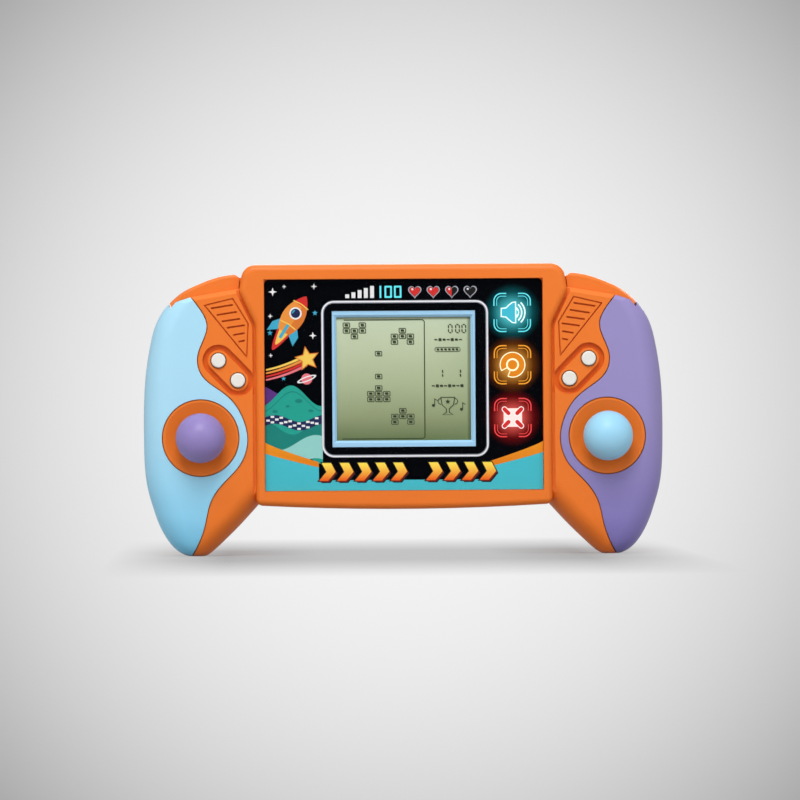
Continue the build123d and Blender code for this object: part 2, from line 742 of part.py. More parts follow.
# Shoulder buttons, each with a barrel for its pin and a rib over its switch
shoulder_top = spots(shoulder_top_shares)
shoulder_left = spot(shoulder_head_share)[0] + shoulder_wall
shoulder_right = spot(shoulder_end_share)[0] - shoulder_wall
plunger_top = switch_foot_z + switch_height + plunger_height
rib_reach = shoulder_rib_x + shoulder_rib_width / 2 - shoulder_pin[0]
rib_low = plunger_top + rib_reach * sin(radians(shoulder_travel_degrees)) + face_gap
rib_high = shoulder_top[2][1]
with BuildPart() as shoulder_button:
    extrude(shoulder_outline(-shoulder_back).sketch, amount=shoulder_back + shoulder_front)
    crown = shoulder_button.faces().filter_by(GeomType.PLANE, reverse=True)[0]
    fillet(crown.edges().filter_by(GeomType.LINE, reverse=True), radius=shoulder_edge_radius)
    add(wing_form(face_gap).part, mode=Mode.INTERSECT)
    with BuildSketch(level(shoulder_wall - shoulder_back)) as shoulder_inside:
        with BuildLine():
            Polyline((shoulder_left, 0), (shoulder_left, shoulder_top[0][1] - shoulder_wall),
                     *[(x, z - shoulder_wall) for x, z in shoulder_top[1:4]],
                     (shoulder_right, shoulder_top[-1][1]), (shoulder_right, 0), close=True)
        make_face()
    extrude(shoulder_inside.sketch, amount=shoulder_back + shoulder_front - 2 * shoulder_wall, mode=Mode.SUBTRACT)
    bar([shoulder_pin], shoulder_barrel_radius, -shoulder_back, shoulder_front)
    block((shoulder_rib_x, (rib_low + rib_high) / 2), shoulder_rib_width, rib_high - rib_low, 0, switch_depth)
    bar([shoulder_pin], shoulder_pin_radius + shaft_clearance, -overrun, overrun, Mode.SUBTRACT)
keep_pair(shoulder_button, "shoulder_button")

pin_overhang = shoulder_gap + shoulder_pin_seat - face_gap
with BuildPart() as shoulder_pin_piece:
    bar([shoulder_pin], shoulder_pin_radius, -shoulder_back - pin_overhang, shoulder_front + pin_overhang)
keep_pair(shoulder_pin_piece, "shoulder_pin")

with BuildPart() as shoulder_switch:
    block((shoulder_rib_x, switch_foot_z + switch_height / 2), switch_width, switch_height, 0, switch_depth)
    with BuildSketch(Plane.XY.offset(switch_foot_z)) as plunger:
        with Locations((shoulder_rib_x, seam_y - switch_depth / 2)):
            Circle(plunger_radius)
    extrude(plunger.sketch, amount=switch_height + plunger_height)
keep_pair(shoulder_switch, "shoulder_switch")

# Speaker on the inside of the back wall
with BuildPart() as speaker_piece:
    bar([speaker], speaker_radius, centre_inner_back, centre_inner_back + speaker_flange)
    bar([speaker], speaker_magnet_radius, centre_inner_back, centre_inner_back + speaker_depth)
keep(speaker_piece, "speaker")

# Battery door: it hooks behind the wall with two tabs and swings out from its bottom edge
door_inside = door_thickness - centre_back
tab_back = centre_inner_back + running_gap
with BuildPart() as battery_door:
    block(bay_centre, door_width - 2 * door_gap, door_height - 2 * door_gap, -centre_back, door_inside)
    block((0, door_bottom + door_gap), door_latch_width, 2 * door_latch_drop, -centre_back, door_inside)
    for side in (-1, 1):
        block((side * door_tab_spacing / 2, door_top - door_gap), door_tab_width, 2 * door_tab_rise,
              tab_back, tab_back + door_tab_thickness)
        block((side * door_tab_spacing / 2, door_top - door_gap - door_tab_rise / 2), door_tab_width, door_tab_rise,
              -centre_back, tab_back)
    for step in range(door_rib_count):
        block((0, door_bottom + (step + 3) * door_rib_spacing), door_rib_width, door_rib_thickness,
              -centre_back - door_rib_proud, -centre_back)
keep(battery_door, "battery_door")

# Two cells lying across the bay, side by side and head to tail
cell_rows = [(side, bay_centre[1] + side * (cell_radius + cell_gap / 2)) for side in (-1, 1)]
nub_end = bay_length / 2 - contact_thickness - spring_gap
cell_start = nub_end - cell_nub_length - cell_length
with BuildPart() as batteries:
    for side, z in cell_rows:
        cell_plane = Plane(origin=(side * cell_start, seam_y - cell_depth, z), z_dir=(side, 0, 0))
        with BuildSketch(cell_plane) as cell_end:
            Circle(cell_radius)
        extrude(cell_end.sketch, amount=cell_length)
        with BuildSketch(cell_plane) as nub:
            Circle(cell_nub_radius)
        extrude(nub.sketch, amount=cell_length + cell_nub_length)
keep(batteries, "batteries")

with BuildPart() as battery_contacts:
    for row, z in cell_rows:
        for side in (-1, 1):
            block((side * (bay_length - contact_thickness) / 2, z), contact_thickness, contact_height,
                  cell_depth - contact_height / 2, cell_depth + contact_height / 2)
keep(battery_contacts, "battery_contacts")

# Coil springs between the flat end of each cell and its contact
spring_room = cell_start + bay_length / 2 - contact_thickness
spring_height = spring_room - 2 * spring_wire_radius - spring_gap
with BuildPart() as battery_springs:
    for side, z in cell_rows:
        spring_end = Vector(side * (spring_height + spring_wire_radius - spring_room + cell_start), seam_y - cell_depth, z)
        with BuildLine() as coil:
            Helix(pitch=spring_height / spring_turns, height=spring_height, radius=spring_base_radius,
                  center=spring_end, direction=(-side, 0, 0))
        with BuildSketch(Plane(origin=coil.line @ 0, z_dir=coil.line % 0)) as wire:
            Circle(spring_wire_radius)
        sweep(wire.sketch, path=coil.line)
keep(battery_springs, "battery_springs")


def screws(places, head_radius, head_height, shank_radius, seat, reach):
    """Screws put in from the back: heads behind the seat depth, shanks up to reach."""
    with BuildPart() as pieces:
        bar(places, head_radius, seat - head_height, seat)
        bar(places, shank_radius, seat - head_height, reach)
        for place in places:
            block(place, head_radius, shank_radius / 2, seat - head_height, seat - head_height / 2, Mode.SUBTRACT)
            block(place, shank_radius / 2, head_radius, seat - head_height, seat - head_height / 2, Mode.SUBTRACT)
    return pieces


keep(screws(both_sides(case_screws_at), screw_head_radius, screw_head_height, screw_shank_radius,
            -head_seat_depth, case_screw_reach), "case_screws")
with BuildPart() as board_screws:
    add(screws(both_sides(main_board_screws_at), board_screw_head_radius, board_screw_head_height,
               board_screw_shank_radius, main_board_back, main_board_front + board_screw_reach).part)
    add(screws(both_sides(grip_board_screws_at), board_screw_head_radius, board_screw_head_height,
               board_screw_shank_radius, -board_thickness, board_screw_reach).part)
keep(board_screws, "board_screws")
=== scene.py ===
"""Looks of the handheld game console: finishes, printed panel, display, light and camera."""

import logging
import math
from dataclasses import dataclass, field
from enum import Enum

import bpy
import numpy as np
from mathutils import Matrix, Vector


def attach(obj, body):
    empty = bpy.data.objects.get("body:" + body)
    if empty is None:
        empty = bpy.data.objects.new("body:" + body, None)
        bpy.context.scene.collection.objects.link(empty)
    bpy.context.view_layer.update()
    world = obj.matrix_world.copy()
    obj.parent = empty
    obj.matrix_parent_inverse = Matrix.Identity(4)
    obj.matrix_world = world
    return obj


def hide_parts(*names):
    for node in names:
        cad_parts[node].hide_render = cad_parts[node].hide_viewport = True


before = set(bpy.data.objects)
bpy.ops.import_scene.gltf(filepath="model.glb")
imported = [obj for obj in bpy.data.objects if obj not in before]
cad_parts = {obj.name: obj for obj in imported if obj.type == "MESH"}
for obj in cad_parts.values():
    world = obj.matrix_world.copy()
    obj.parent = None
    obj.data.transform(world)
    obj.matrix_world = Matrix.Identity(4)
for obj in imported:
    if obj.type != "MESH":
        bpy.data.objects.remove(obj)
LOG = logging.getLogger("console")
MM = 0.001
SEAM_Y = 4.75
WING_DEPTH = 11.5
RECESS_INNER, RECESS_LOW, RECESS_HIGH = 51.6, 56.0, 89.0
RECESS_FADES = ((0.12, 0.5), (2.2, 2.6))
# Height in millimetres below which painted shade darkens the grips towards the bottom.
GRIP_SHADE_TOP = 48.0
PIXELS = 800
SENSOR_MM = 36.0

GAMMA = 2.2
BLACK, WHITE = (0.0, 0.0, 0.0, 1.0), (1.0, 1.0, 1.0, 1.0)
CORNERS = ((1, 1), (-1, 1), (-1, -1), (1, -1))

Point = tuple[float, float]
Triple = tuple[float, float, float]
Colour = Triple


def linear(colour: Colour) -> tuple[float, float, float, float]:
    """Turn a colour written from 0 to 255 into the linear values that shaders use.

    Args:
        colour: red, green and blue as seen on a screen.

    Returns:
        Red, green, blue and an alpha of one.
    """
    parts = [c / 255 for c in colour]
    return (*[c / 12.92 if c <= 0.04045 else ((c + 0.055) / 1.055) ** 2.4 for c in parts], 1.0)


def shade(colour: Colour, share: float) -> tuple[float, float, float, float]:
    """The linear values of a colour made darker or lighter by a share."""
    return linear(tuple(min(255, c * share) for c in colour))


def placed(name: str, data: bpy.types.ID) -> bpy.types.Object:
    """Make an object from its data and link it to the scene."""
    made = bpy.data.objects.new(name, data)
    bpy.context.scene.collection.objects.link(made)
    return made


class Expression:
    """A shader value: wraps a socket, and each operator adds the Math node it needs."""

    def __init__(self, shader: "Shader", socket: bpy.types.NodeSocket) -> None:
        """Keep the shader that owns the socket, and the socket."""
        self.shader = shader
        self.socket = socket

    def _math(self, operation: str, *values: "Expression | float", clamp: bool = False) -> "Expression":
        """Add one Math node and return its output."""
        settings = {"operation": operation, "use_clamp": clamp}
        node = self.shader.node("ShaderNodeMath", settings, dict(enumerate(values)))
        return Expression(self.shader, node.outputs[0])

    def __add__(self, other: "Expression | float") -> "Expression":
        """Sum."""
        return self._math("ADD", self, other)

    __radd__ = __add__

    def __mul__(self, other: "Expression | float") -> "Expression":
        """Product."""
        return self._math("MULTIPLY", self, other)

    __rmul__ = __mul__

    def __sub__(self, other: "Expression | float") -> "Expression":
        """Difference."""
        return self._math("SUBTRACT", self, other)

    def __rsub__(self, other: "Expression | float") -> "Expression":
        """Reflected difference."""
        return self._math("SUBTRACT", other, self)

    def __truediv__(self, other: "Expression | float") -> "Expression":
        """Quotient."""
        return self._math("DIVIDE", self, other)

    def __pow__(self, power: float) -> "Expression":
        """Power."""
        return self._math("POWER", self, power)

    def size(self) -> "Expression":
        """The value without its sign."""
        return self._math("ABSOLUTE", self)

    def at_least(self, limit: float) -> "Expression":
        """The larger of the value and the limit."""
        return self._math("MAXIMUM", self, limit)

    def above(self, limit: float) -> "Expression":
        """One where the value is over the limit, else zero."""
        return self._math("GREATER_THAN", self, limit)

    def clamped(self) -> "Expression":
        """The value held between zero and one."""
        return self._math("ADD", self, 0.0, clamp=True)


class Shader:
    """One material and the nodes in it."""

    def __init__(self, name: str) -> None:
        """Start an empty material with an output node.

        Args:
            name: the material's name.
        """
        self.material = bpy.data.materials.new(name)
        self.material.use_nodes = True
        self.tree = self.material.node_tree
        self.tree.nodes.clear()
        self.output = self.tree.nodes.new("ShaderNodeOutputMaterial")

    def node(self, kind: str, settings: dict, inputs: dict) -> bpy.types.Node:
        """Add a node.

        Args:
            kind: the node's type name.
            settings: properties to set first, such as an operation or a ramp's stops.
            inputs: socket name or number to a value, a socket or an Expression.

        Returns:
            The new node.
        """
        node = self.tree.nodes.new(kind)
        for key, value in settings.items():
            if key == "stops":
                ramp = node.color_ramp
                while len(ramp.elements) > 1:
                    ramp.elements.remove(ramp.elements[0])
                ramp.elements[0].position, ramp.elements[0].color = value[0]
                for place, colour in value[1:]:
                    ramp.elements.new(place).color = colour
            else:
                setattr(node, key, value)
        for key, value in inputs.items():
            socket = node.inputs[key]
            if isinstance(value, Expression):
                value = value.socket
            if isinstance(value, bpy.types.NodeSocket):
                self.tree.links.new(value, socket)
            else:
                socket.default_value = value
        return node

    def value(self, node: bpy.types.Node, output: str | int = 0) -> Expression:
        """Wrap a node's output."""
        return Expression(self, node.outputs[output])

    def noise(self, scale: float, detail: float = 2.0, stretch: Triple = (1, 1, 1)) -> Expression:
        """Noise from zero to one on Object coordinates.

        Args:
            scale: cells per metre.
            detail: octaves.
            stretch: scale along each axis.

        Returns:
            The noise value.
        """
        place = self.node("ShaderNodeTexCoord", {}, {})
        spread = self.node("ShaderNodeMapping", {}, {"Vector": place.outputs["Object"], "Scale": stretch})
        noise = self.node("ShaderNodeTexNoise", {}, {"Vector": spread.outputs[0], "Scale": scale, "Detail": detail})
        return self.value(noise, "Fac")

    def place(self, axis: int) -> Expression:
        """Object coordinate along an axis, in metres."""
        place = self.node("ShaderNodeTexCoord", {}, {})
        return self.value(self.node("ShaderNodeSeparateXYZ", {}, {0: place.outputs["Object"]}), axis)

    def along(self, axis: int, start: float, end: float) -> Expression:
        """Ramp from zero at start to one at end along an Object axis, in metres."""
        return ((self.place(axis) - start) * (1 / (end - start))).clamped()

    def away(self, centre: Point, radius: float) -> Expression:
        """Distance from a place of the front view, as a share of radius; both in millimetres."""
        across = self.place(0) - centre[0] * MM
        up = self.place(2) - centre[1] * MM
        return (across * across + up * up) ** 0.5 * (1 / (radius * MM))

    def blend(self, amount: Expression | float, first: object, second: object) -> bpy.types.NodeSocket:
        """Mix two colours.

        Args:
            amount: share of the second colour.
            first: colour or socket.
            second: colour or socket.

        Returns:
            The mixed colour's socket.
        """
        return self.node("ShaderNodeMix", {"data_type": "RGBA"}, {0: amount, 6: first, 7: second}).outputs[2]

    def surface(self, inputs: dict) -> None:
        """Add the main surface shader and join it to the output."""
        node = self.node("ShaderNodeBsdfPrincipled", {}, inputs)
        self.tree.links.new(node.outputs[0], self.output.inputs["Surface"])

    def bump(self, height: Expression, strength: float, distance: float) -> bpy.types.NodeSocket:
        """Bump from a height value.

        Args:
            height: the height, from zero to one.
            strength: how much of it shows.
            distance: the height's size in metres.

        Returns:
            The normal's socket.
        """
        node = self.node("ShaderNodeBump", {}, {"Strength": strength, "Distance": distance, "Height": height})
        return node.outputs[0]


@dataclass(frozen=True)
class Plastic:
    """Moulded plastic: fine spark-eroded grain, faint flow marks and slightly uneven gloss."""

    name: str
    colour: Colour
    roughness: float = 0.42
    variation: float = 0.05
    grain: float = 2600.0
    grain_strength: float = 0.18
    grain_depth: float = 0.00003
    specular: float = 0.3
    # The recess colour is painted shade in the recesses beside the middle part.
    recess_shade: Colour | None = None
    # The low colour is painted shade: it fades in towards the bottom of the grips.
    low: Colour | None = None

    def build(self) -> bpy.types.Material:
        """Make the material."""
        shader = Shader(self.name)
        clouds = shader.noise(28.0, 3.0)
        flow = shader.noise(60.0, 2.0, (0.4, 1.0, 2.2))
        dark, light = shade(self.colour, 1 - self.variation), shade(self.colour, 1 + self.variation * 0.6)
        tint = shader.blend(clouds * 0.7 + flow * 0.3, dark, light)
        rough = clouds * 0.08 + flow * 0.05 + (self.roughness - 0.065)
        grain = shader.noise(self.grain, 2.0)
        # Painted shade: the low colour fades in from the top height down to the bottom.
        if self.low is not None:
            tint = shader.blend((1.0 - shader.along(2, 0.0, GRIP_SHADE_TOP * MM)) ** 1.2, tint, linear(self.low))
        # Painted shade: the recess colour fills the recesses.
        if self.recess_shade is not None:
            tint = shader.blend(self._recess_shade_share(shader), tint, linear(self.recess_shade))
        shader.surface({"Base Color": tint, "Roughness": rough, "Specular IOR Level": self.specular,
                        "Normal": shader.bump(grain, self.grain_strength, self.grain_depth)})
        return shader.material

    @staticmethod
    def _recess_shade_share(shader: Shader) -> Expression:
        """Share of a recess, where painted shade goes: from just below the wings' face to 2.6 mm below it, beside the
        middle part.
        """
        face = SEAM_Y - WING_DEPTH
        below, behind = (shader.along(1, (face + near) * MM, (face + far) * MM) for near, far in RECESS_FADES)
        height = shader.place(2)
        beside = shader.place(0).size().above(RECESS_INNER * MM)
        between = height.above(RECESS_LOW * MM) * (1.0 - height.above(RECESS_HIGH * MM))
        return below * (1.0 - behind) * beside * between


@dataclass(frozen=True)
class Rubber:
    """Matt rubber or resin with a soft mottled surface."""

    name: str
    colour: Colour
    roughness: float = 0.8

    def build(self) -> bpy.types.Material:
        """Make the material."""
        shader = Shader(self.name)
        mottle = shader.noise(500.0, 4.0)
        tint = shader.blend(mottle, shade(self.colour, 0.85), linear(self.colour))
        shader.surface({"Base Color": tint, "Roughness": mottle * 0.15 + (self.roughness - 0.08),
                        "Normal": shader.bump(mottle, 0.3, 0.00005)})
        return shader.material


@dataclass(frozen=True)
class Metal:
    """Plated or bare metal with fine rolling lines and a few dull patches."""

    name: str
    colour: Colour
    roughness: float = 0.3

    def build(self) -> bpy.types.Material:
        """Make the material."""
        shader = Shader(self.name)
        lines = shader.noise(900.0, 2.0, (1.0, 1.0, 12.0))
        patches = shader.noise(150.0, 3.0)
        tint = shader.blend(patches, shade(self.colour, 0.8), linear(self.colour))
        shader.surface({"Base Color": tint, "Metallic": 1.0, "Roughness": patches * 0.18 + (self.roughness - 0.06),
                        "Normal": shader.bump(lines, 0.15, 0.00002)})
        return shader.material


@dataclass(frozen=True)
class Ink:
    """Screen-printed ink under a clear sheet, which may glow a little on its own: painted light, as ink is no lamp.
    """

    name: str
    colour: Colour
    glow: float = 0.0
    second: Colour | None = None
    low_mm: float = 0.0
    high_mm: float = 1.0

    def build(self) -> bpy.types.Material:
        """Make the material; a second colour fades in from low_mm to high_mm up the panel."""
        shader = Shader(f"{self.name}_ink")
        dots = shader.noise(2500.0, 1.0)
        base = linear(self.colour)
        if self.second is not None:
            base = shader.blend(shader.along(2, self.low_mm * MM, self.high_mm * MM), base, linear(self.second))
        tint = shader.blend(dots * 0.1, base, linear((20, 20, 24)))
        inputs = {"Base Color": tint, "Roughness": dots * 0.1 + 0.45, "Specular IOR Level": 0.2}
        # Painted light: a glowing ink glows with its own colour, though it is no lamp.
        if self.glow:
            inputs["Emission Color"] = tint
            inputs["Emission Strength"] = self.glow
        shader.surface(inputs)
        return shader.material


@dataclass(frozen=True)
class PrintedFilm:
    """Deep black film with soft glows printed on it: each falls off from its middle."""

    name: str
    colour: Colour = (5, 6, 9)
    glows: tuple[tuple[Point, float, Colour, float], ...] = ()

    def build(self) -> bpy.types.Material:
        """Make the material; a glow is a centre, a radius, a colour and a strength."""
        shader = Shader(self.name)
        tint = linear(self.colour)
        for centre, radius, colour, strength in self.glows:
            fall = (1.0 - shader.away(centre, radius)).clamped() ** 1.5 * strength
            tint = shader.blend(fall.clamped(), tint, linear(colour))
        dots = shader.noise(1500.0, 1.0)
        # Painted light: the film glows with its own colour at a quarter strength, though it is no lamp.
        shader.surface({"Base Color": tint, "Roughness": dots * 0.1 + 0.5, "Specular IOR Level": 0.0,
                        "Emission Color": tint, "Emission Strength": 0.25})
        return shader.material


@dataclass(frozen=True)
class ClearSheet:
    """Clear cover sheet: nearly invisible, with a faint gloss."""

    name: str
    alpha: float = 0.01

    def build(self) -> bpy.types.Material:
        """Make the material."""
        shader = Shader(self.name)
        smear = shader.noise(40.0, 3.0)
        shader.surface({"Base Color": linear((40, 44, 48)), "Roughness": smear * 0.06 + 0.12,
                        "Alpha": self.alpha, "Specular IOR Level": 0.1})
        return shader.material


@dataclass(frozen=True)
class DisplayGlass:
    """Face of the reflective display with painted shade: pale grey-green above, dark olive at the bottom and darker
    towards the right, with a painted shadow along the top and right edges; places in metres.
    """

    name: str
    low: float = 0.0395
    high: float = 0.0825
    top: float = 0.0825
    right: float = 0.0233
    shadow: Colour = (70, 82, 48)
    stops: tuple[tuple[float, Colour], ...] = (
        (0.0, (98, 116, 74)), (0.07, (118, 132, 92)), (0.2, (146, 158, 118)), (0.45, (172, 184, 146)),
        (0.75, (190, 202, 168)), (1.0, (200, 212, 182)))

    def build(self) -> bpy.types.Material:
        """Make the material."""
        shader = Shader(self.name)
        cloud = shader.noise(25.0, 2.0)
        # Painted shade: the ramp darkens towards the bottom.
        rise = shader.along(2, self.low, self.high) + cloud * 0.08 - 0.04
        stops = [(at, linear(colour)) for at, colour in self.stops]
        ramp = shader.node("ShaderNodeValToRGB", {"stops": stops}, {0: rise})
        # Painted shade: darker and greener towards the right.
        tint = shader.blend(shader.along(0, 0.012, 0.026) * 0.22, ramp.outputs[0], linear((120, 140, 90)))
        # Painted shadow along the top and right edges.
        for axis, edge, first, last in ((2, self.top, 0.0011, 0.0006), (0, self.right, 0.0014, 0.0008)):
            tint = shader.blend(shader.along(axis, edge - first, edge - last) * 0.6, tint, linear(self.shadow))
        shader.surface({"Base Color": tint, "Roughness": cloud * 0.1 + 0.4, "Specular IOR Level": 0.2})
        return shader.material


def place_sheet(points: np.ndarray, depth: float) -> np.ndarray:
    """Put flat points of the front view at a depth.

    Args:
        points: n by 2 array of x and z in millimetres.
        depth: millimetres in front of the seam.

    Returns:
        n by 3 array in metres: x, then the seam's y less the depth, then z.
    """
    flat = np.asarray(points, float)
    return np.column_stack([flat[:, 0], np.full(len(flat), SEAM_Y - depth), flat[:, 1]]) * MM


def polar(centre: Point, radius: float | np.ndarray, degrees: np.ndarray) -> np.ndarray:
    """Points round a centre: the centre plus radius times cosine and sine of the angle."""
    angle = np.radians(degrees)
    return np.column_stack([centre[0] + radius * np.cos(angle), centre[1] + radius * np.sin(angle)])


def circle(centre: Point, radius: float, count: int = 48, start: float = 0.0, sweep: float = 360.0) -> np.ndarray:
    """Even points round a circle, or along an arc with both its ends."""
    closed = sweep == 360.0
    return polar(centre, radius, start + sweep * np.arange(count) / (count if closed else count - 1))


def rounded(centre: Point, width: float, height: float, radius: float, steps: int = 8) -> np.ndarray:
    """Rounded rectangle: four quarter circles round the corners' centres."""
    parts = []
    for number, (sx, sz) in enumerate(CORNERS):
        corner = (centre[0] + sx * (width / 2 - radius), centre[1] + sz * (height / 2 - radius))
        parts.append(circle(corner, max(radius, 1e-4), steps, 90.0 * number, 90.0))
    return np.vstack(parts)


def box_points(centre: Point, width: float, height: float) -> np.ndarray:
    """Four corners of a bar."""
    x, z = centre
    return np.array([(x - width / 2, z - height / 2), (x + width / 2, z - height / 2),
                     (x + width / 2, z + height / 2), (x - width / 2, z + height / 2)])


def star(centre: Point, outer: float, inner: float, points: int, turn: float = 90.0) -> np.ndarray:
    """Star: the radius alternates between outer and inner round the circle."""
    number = np.arange(2 * points)
    return polar(centre, np.where(number % 2 == 0, outer, inner), turn + 180.0 / points * number)


def capsule(start: Point, end: Point, width: float) -> np.ndarray:
    """Round-ended bar: a half circle of half the width round each end."""
    lean = math.degrees(math.atan2(end[1] - start[1], end[0] - start[0]))
    return np.vstack([circle(end, width / 2, 10, lean - 90, 180.0), circle(start, width / 2, 10, lean + 90, 180.0)])


def heart(centre: Point, size: float, start: float = 0.0, end: float = 2.0) -> np.ndarray:
    """Heart: the cube of the sine across, a sum of cosines upwards; start and end in half turns."""
    t = np.linspace(start * np.pi, end * np.pi, 48, endpoint=end - start < 2.0)
    x = size * np.sin(t) ** 3
    z = size * 1.06 * (13 * np.cos(t) - 5 * np.cos(2 * t) - 2 * np.cos(3 * t) - np.cos(4 * t)) / 16
    return np.column_stack([centre[0] + x, centre[1] + z])


def turned(points: np.ndarray, centre: Point, degrees: float) -> np.ndarray:
    """Points given from a centre along and across, turned by an angle: a rotation matrix times each."""
    a = math.radians(degrees)
    turn = np.array([[math.cos(a), math.sin(a)], [-math.sin(a), math.cos(a)]])
    return np.asarray(points, float) @ turn + np.array(centre)


def facing(outline: np.ndarray) -> float:
    """Twice the signed area of an outline: positive where it faces the player."""
    after = np.roll(outline, -1, axis=-2)
    return (outline[..., 0] * after[..., 1] - after[..., 0] * outline[..., 1]).sum(axis=-1)


SEGMENTS = {"0": "abcdef", "1": "bc"}


def digit(value: str, centre: Point, width: float, height: float, line: float) -> list[np.ndarray]:
    """Bars of a seven-segment digit, each shortened to leave the gaps of a display."""
    x, z = centre
    w, h, gap = width / 2, height / 2, line * 0.35
    across, upright = width - line - 2 * gap, height / 2 - line / 2 - 2 * gap
    places = {"a": (x, z + h), "g": (x, z), "d": (x, z - h), "f": (x - w, z + h / 2), "b": (x + w, z + h / 2),
              "e": (x - w, z - h / 2), "c": (x + w, z - h / 2)}
    return [box_points(places[key], across if key in "agd" else line, line if key in "agd" else upright)
            for key in SEGMENTS[value]]


class Piece:
    """A thin printed or plated piece gathered from outlines and bands, in millimetres of the front view."""

    def __init__(self, name: str, depth: float) -> None:
        """Start an empty piece whose face is at a depth in front of the seam."""
        self.name = name
        self.depth = depth
        self.points: list[np.ndarray] = []
        self.faces: list[list[int]] = []
        self.count = 0

    def fill(self, *outlines: np.ndarray) -> "Piece":
        """Add filled outlines, each turned to face the player."""
        for outline in outlines:
            order = np.arange(self.count, self.count + len(outline))
            self.faces.append((order if facing(outline) > 0 else order[::-1]).tolist())
            self._take(outline)
        return self

    def strip(self, first: np.ndarray, second: np.ndarray, closed: bool = False) -> "Piece":
        """Add the band between two lines of as many points: one quad for each step, facing the player."""
        count = len(first)
        step = np.arange(count if closed else count - 1)
        after = (step + 1) % count
        quads = np.column_stack([step, after, count + after, count + step])
        both = np.vstack([first, second])
        away = facing(both[quads]) < 0
        quads[away] = quads[away][:, ::-1]
        self.faces += (quads + self.count).tolist()
        self._take(both)
        return self

    def ring(self, centre: Point, outer: float, inner: float) -> "Piece":
        """Add a round band."""
        return self.strip(circle(centre, outer), circle(centre, inner), True)

    def arc(self, centre: Point, radius: float, width: float, start: float, sweep: float, count: int = 24) -> "Piece":
        """Add part of a round band."""
        return self.strip(circle(centre, radius + width / 2, count, start, sweep),
                          circle(centre, radius - width / 2, count, start, sweep))

    def line(self, path: np.ndarray, width: float, closed: bool = False) -> "Piece":
        """Add a mitred line: each point moves along the sum of its runs' normals over one plus their product."""
        path = np.asarray(path, float)
        runs = np.roll(path, -1, axis=0) - path
        runs /= np.maximum(np.linalg.norm(runs, axis=1, keepdims=True), 1e-9)
        if not closed:
            runs[-1] = runs[-2]
        before = np.roll(runs, 1, axis=0)
        if not closed:
            before[0] = runs[0]
        normal, earlier = runs[:, ::-1] * (-1, 1), before[:, ::-1] * (-1, 1)
        product = np.maximum((normal * earlier).sum(axis=1, keepdims=True), -0.6)
        side = (normal + earlier) / (1 + product) * width / 2
        return self.strip(path + side, path - side, closed)

    def frame_line(self, centre: Point, width: float, height: float, radius: float, line: float) -> "Piece":
        """Add a rounded rectangular line of even width."""
        outer = rounded(centre, width, height, radius)
        inner = rounded(centre, width - 2 * line, height - 2 * line, max(radius - line, 0.05))
        return self.strip(outer, inner, True)

    def _take(self, outline: np.ndarray) -> None:
        """Keep points."""
        self.points.append(np.asarray(outline, float))
        self.count += len(outline)

    def build(self, material: bpy.types.Material, thickness: float = 0.008,
              slot: str = "black_print") -> bpy.types.Object:
        """Make the object, give it its thickness towards the back, and hang it on the casing.

        Args:
            material: the finish.
            thickness: millimetres from its face to its back.
            slot: the record's material slot; not used.

        Returns:
            The new object.
        """
        mesh = bpy.data.meshes.new(self.name)
        mesh.from_pydata(place_sheet(np.vstack(self.points), self.depth).tolist(), [], self.faces)
        mesh.materials.append(material)
        piece = placed(self.name, mesh)
        solid = piece.modifiers.new("thickness", "SOLIDIFY")
        solid.thickness = thickness * MM
        solid.offset = -1.0
        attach(piece, "casing")
        LOG.info("%s: %d faces", self.name, len(mesh.polygons))
        return piece


class Palette(Enum):
    """Finishes of the carried-over solids, by what they are made of."""

    # The recess colour of the shell is painted shade in its recesses.
    SHELL = Plastic("orange_plastic", (238, 121, 38), 0.42, 0.04, recess_shade=(226, 100, 8))
    # The low colours of the grip panels are painted shade towards the bottom.
    LEFT_PANEL = Plastic("light_blue_plastic", (172, 221, 243), 0.42, 0.03, low=(122, 202, 236))
    RIGHT_PANEL = Plastic("purple_plastic", (152, 141, 194), 0.42, 0.03, low=(122, 112, 180))
    LEFT_CAP = Plastic("purple_cap_plastic", (146, 130, 190), 0.36, 0.03)
    RIGHT_CAP = Plastic("light_blue_cap_plastic", (158, 214, 241), 0.36, 0.03)
    WHITE = Plastic("white_button_plastic", (233, 230, 222), 0.34, 0.02)
    BEZEL = Plastic("pale_blue_plastic", (164, 212, 244), 0.4, 0.03)
    DARK = Plastic("black_plastic", (34, 34, 37), 0.5, 0.1)
    IVORY = Plastic("white_plastic", (214, 212, 204), 0.45, 0.04)
    BACKING = Plastic("reflector", (200, 202, 170), 0.5, 0.03)
    BOARD = Plastic("green_board", (28, 96, 52), 0.38, 0.12)
    JACKET = Plastic("cell_jacket", (44, 120, 96), 0.3, 0.05)
    RESIN = Rubber("chip_resin", (16, 16, 17), 0.5)
    MAT = Rubber("grey_rubber", (92, 94, 99), 0.8)
    STEEL = Metal("steel", (176, 178, 184), 0.3)
    CLEAR = ClearSheet("clear_sheet")
    GLASS = DisplayGlass("display_face")


WORN_BY = {
    Palette.SHELL: ("front_shell", "back_shell", "battery_door", "*_shoulder_button"),
    Palette.LEFT_PANEL: ("left_grip_panel",), Palette.RIGHT_PANEL: ("right_grip_panel",),
    Palette.LEFT_CAP: ("left_stick_cap",), Palette.RIGHT_CAP: ("right_stick_cap",),
    Palette.WHITE: ("*_upper_button", "*_lower_button"), Palette.BEZEL: ("lcd_bezel",),
    Palette.DARK: ("printed_panel", "speaker", "*_stick_base", "*_stick_stem", "*_shoulder_switch"),
    Palette.IVORY: ("*_gimbal_ring",), Palette.BACKING: ("lcd_backing",),
    Palette.BOARD: ("main_board", "*_grip_board"), Palette.JACKET: ("batteries",),
    Palette.RESIN: ("chip_cover",), Palette.MAT: ("zebra_strip", "*_key_mat"),
    Palette.STEEL: ("battery_contacts", "battery_springs", "case_screws", "board_screws", "*_shoulder_pin"),
    Palette.CLEAR: ("screen_sheet",), Palette.GLASS: ("lcd_glass",),
}

